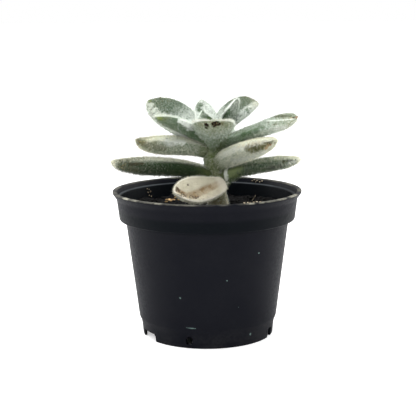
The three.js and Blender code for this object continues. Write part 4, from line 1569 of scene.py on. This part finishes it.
# %% Read a skin
def read(values, key, kind=float):
    """The three numbers of every item in a list of a mesh, as rows."""
    rows = np.empty(len(values) * 3, dtype=kind)
    values.foreach_get(key, rows)
    return rows.reshape(-1, 3)


def mesh_arrays(mesh):
    """A mesh's points in millimetres, its normals, and its triangles as corner numbers."""
    mesh.calc_loop_triangles()
    triangles = read(mesh.loop_triangles, "vertices", int)
    return read(mesh.vertices, "co") / MM, read(mesh.vertices, "normal"), triangles


def kept_spots(mesh):
    """Along, across and facing for each point of a leaf's mesh, or nothing for the stem."""
    if "leaf_place" in mesh.attributes:
        return read(mesh.attributes["leaf_place"].data, "vector")


def unit(vectors):
    """Vectors brought to the length 1."""
    return vectors / np.maximum(np.linalg.norm(vectors, axis=-1, keepdims=True), 1e-9)


# %% Root the hairs
HAIR_TRIES = 1.8
EDGE_HAIRS = 1.4
CLUMP_WAVES = 1.3
CLUMP_GATHERING = 2.2


def hair_roots(skin, look, per_mm2, draws):
    """Roots drawn over a skin, with the way out of the skin, the clump and the leaf place of each."""
    points, normals, triangles = mesh_arrays(skin.data)
    corners = points[triangles]
    sides = corners[:, 1:] - corners[:, :1]
    areas = np.linalg.norm(np.cross(sides[:, 0], sides[:, 1]), axis=1) / 2
    spots = kept_spots(skin.data)
    if spots is not None:
        across = np.abs(spots[triangles][:, :, 1]).mean(axis=1)
        areas *= 1 + EDGE_HAIRS * look["edge"] * smooth(across, look["rim"], EDGE_END)
    count = int(areas.sum() * per_mm2 * HAIR_TRIES)
    chosen = draws.choice(len(triangles), size=count, p=areas / areas.sum())
    first, second = draws.random((2, count, 1))
    swap = first + second > 1
    first, second = np.where(swap, 1 - first, first), np.where(swap, 1 - second, second)
    shares = np.concatenate([1 - first - second, first, second], axis=1)[..., None]
    roots = (corners[chosen] * shares).sum(axis=1)
    clump = np.array([noise.noise(Vector(root) * CLUMP_WAVES) for root in roots])
    kept = draws.random(count) < (1 + CLUMP_GATHERING * clump) / HAIR_TRIES
    chosen, shares = triangles[chosen[kept]], shares[kept]
    outward = unit((normals[chosen] * shares).sum(axis=1))
    spot = None if spots is None else (spots[chosen] * shares).sum(axis=1)
    return roots[kept], outward, clump[kept], spot


# %% Shade the hairs
SPECKLED_HAIRS = 0.5
MARK_FADE = (1.2, 0.7)
MARK_BARES = 0.75
LUCK_OF_HAIR = 0.45
LUCK_OF_CLUMP = 0.55
CLUMP_CONTRAST = 1.1
TAN_HAIRS = (0.06, 0.4)
BRUISED_HAIRS = 0.62


def hair_shades(look, roots, clump, spot, draws):
    """The material of each hair: 0 for frost, 1 for bare skin, 2 for tan and 3 for dark."""
    pale = np.clip(look["paleness"] + frost_share(look, *spot.T), 0, 1)
    bruised = np.full(len(roots), SPECKLED_HAIRS * look["speckled"])
    for share, turn, radius, kind in look["marks"]:
        away = np.linalg.norm(roots - skin_point(look["leaf"], share, turn), axis=1) / radius
        masked = MARK_COLOURS[kind][1] * smooth(away, *MARK_FADE)
        if kind in GRAINY_MARKS:
            bruised = np.maximum(bruised, masked)
        pale = np.maximum(pale, masked) if kind in PALE_MARKS else pale * (1 - MARK_BARES * masked)
    by_clump = np.clip(0.5 - CLUMP_CONTRAST * clump, 0, 1)
    luck = LUCK_OF_HAIR * draws.random(len(roots)) + LUCK_OF_CLUMP * by_clump
    shade = (luck > pale).astype(int)
    tanned = look["warm"] * (TAN_HAIRS[0] + TAN_HAIRS[1] * smooth(spot[:, 0], *WARM_CHANGE))
    shade = np.where(draws.random(len(roots)) < tanned, 2, shade)
    return np.where(luck > 1 - BRUISED_HAIRS * bruised, 3, shade)


# %% Spikes and their colours
HAIR_RADIUS = 0.036
HAIR_SINK = 0.08
HAIR_SCATTER = 0.2
CLUMP_LENGTH = (0.85, 0.9)
HAIR_COLOURS = {
    "cool hair": (0.88, 0.93, 0.87),
    "warm hair": (0.9, 0.9, 0.75),
    "cream hair": (0.85, 0.8, 0.66),
    "tan hair": (0.46, 0.39, 0.24),
    "green hair": (0.11, 0.165, 0.065),
    "dark hair": (0.045, 0.066, 0.028),
}


def hair_material(name, colour):
    """One plain colour, a little shiny."""
    material, tree, place, inputs = new_material(name)
    inputs["Base Color"].default_value = (*colour, 1)
    shine = mottled(tree, place, 900.0, 1.0)
    tree.links.new(fade(tree, shine, 0.0, 1.0, 0.55, 0.85), inputs["Roughness"])
    inputs["Specular IOR Level"].default_value = 0.2
    return material


def spikes(roots, outward, towards, length, lean, draws):
    """Points and faces of a closed spike at each root, which leans from outward towards a point."""
    count = len(roots)
    tangent = unit(np.array(towards) - roots)
    tangent -= outward * (tangent * outward).sum(axis=1, keepdims=True)
    direction = unit(outward + lean * unit(tangent) + HAIR_SCATTER * draws.normal(size=(count, 3)))
    one = unit(np.cross(direction, draws.normal(size=(count, 3))))
    two = np.cross(direction, one)
    base = roots - HAIR_SINK * direction
    turns = np.radians([0, 120, 240])
    corners = [base + HAIR_RADIUS * (math.cos(turn) * one + math.sin(turn) * two) for turn in turns]
    corners.append(roots + length * direction)
    start = np.arange(count)[:, None, None] * 4
    faces = (start + np.array([[0, 1, 3], [1, 2, 3], [2, 0, 3], [0, 2, 1]])).reshape(-1, 3)
    return np.stack(corners, axis=1).reshape(-1, 3), faces.tolist()


# %% Grow hairs
def grow_hairs(name, skin, look, slot, draws, towards, per_mm2=7.5, lengths=(0.5, 1.1), lean=0.18):
    """A coat of spikes on a skin, as one piece. They lean towards a point in millimetres."""
    roots, outward, clump, spot = hair_roots(skin, look, per_mm2, draws)
    by_clump = (CLUMP_LENGTH[0] + CLUMP_LENGTH[1] * clump)[:, None]
    length = draws.uniform(*lengths, (len(roots), 1)) * look["shag"] * by_clump
    points, faces = spikes(roots, outward, towards, length, lean, draws)
    piece = make_piece(name, points, faces, hair_materials[look["frost"] + " hair"], slot, soft=False)
    for kind in (look["hair"], "tan hair", "dark hair"):
        piece.data.materials.append(hair_materials[kind])
    if spot is not None:
        shade = hair_shades(look, roots, clump, spot, draws)
        piece.data.polygons.foreach_set("material_index", np.repeat(shade, 4))
    return piece


# %% The coats of hair
HAIR_SEED = 12
ABOVE_HEART = 160

hair_materials = {name: hair_material(name, colour) for name, colour in HAIR_COLOURS.items()}
hair_draws = np.random.default_rng(HAIR_SEED)
counted = 0
for name, piece in leaf_pieces.items():
    slot = "withered_leaf" if name == "leaf_withered" else "leaf"
    tip = leaf_path(leaves[name])[1][-1]
    hairs = grow_hairs(name + "_hairs", piece, looks[name], slot, hair_draws, tip)
    counted += len(hairs.data.polygons)
high = (*stem_axis(STEM_TOP)[:2], ABOVE_HEART)
grow_hairs("heart_hairs", heart, bud_look, "leaf", hair_draws, high, per_mm2=12, lengths=(0.25, 0.5))
grow_hairs("stem_hairs", stem, LOOK, "stem", hair_draws, high, per_mm2=6, lengths=(0.4, 0.9), lean=0.2)
print("hair faces on the leaves:", counted)

# %% [markdown]
# ## The floor
# A wide pale sheet carries the pot. It isn't part of the object. It glows a little for the camera alone,
# so that it stays white and keeps only a breath of shadow round the foot. It doesn't glow under the pot,
# except at the left, where the glow is painted light and the white sheet shows through the wide notch.

# %% The floor
FLOOR_HALF = 60
FLOOR_GLOW = 0.5
# Between which radii the glow stops under the pot, and between which places in X it comes back.
UNDER_FOOT = (FOOT_RADIUS, 33)
PAST_NOTCH = (-26, -22)

floor_mesh = bpy.data.meshes.new("floor")
corners = [(x * FLOOR_HALF, y * FLOOR_HALF, 0) for x, y in ((-1, -1), (1, -1), (1, 1), (-1, 1))]
floor_mesh.from_pydata(corners, [], [(0, 1, 2, 3)])
floor = in_scene("floor", floor_mesh)
floor_material, tree, place, inputs = new_material("white paper")
paper = mottled(tree, place, 400.0, 3.0)
tree.links.new(blend(tree, paper, (0.86, 0.86, 0.86), (0.88, 0.88, 0.88)), inputs["Base Color"])
inputs["Roughness"].default_value = 0.9
inputs["Specular IOR Level"].default_value = 0.1
inputs["Emission Color"].default_value = (1, 1, 1, 1)
parts = add(tree, "SeparateXYZ", {0: place}).outputs
out = add(tree, "VectorMath", {0: place}, operation="LENGTH").outputs["Value"]
under_pot = times(tree, mm_fade(tree, out, *UNDER_FOOT), mm_fade(tree, parts["X"], *PAST_NOTCH))
seen = add(tree, "LightPath").outputs["Is Camera Ray"]
seen = times(tree, seen, less(tree, 1.0, under_pot))
tree.links.new(times(tree, seen, FLOOR_GLOW), inputs["Emission Strength"])
floor_mesh.materials.append(floor_material)
print("the sheet is", 2 * FLOOR_HALF, "m wide")

# %% [markdown]
# ## Sizes and the end
# Every piece that is rendered has its triangles counted, and the total and the largest count are printed.

# %% Sizes and the end
triangles = {}
for piece in bpy.data.objects:
    if piece.type == "MESH" and not piece.hide_render:
        piece.data.calc_loop_triangles()
        triangles[piece.name] = len(piece.data.loop_triangles)
print("triangles:", sum(triangles.values()), "the most in one piece:", max(triangles.values()))
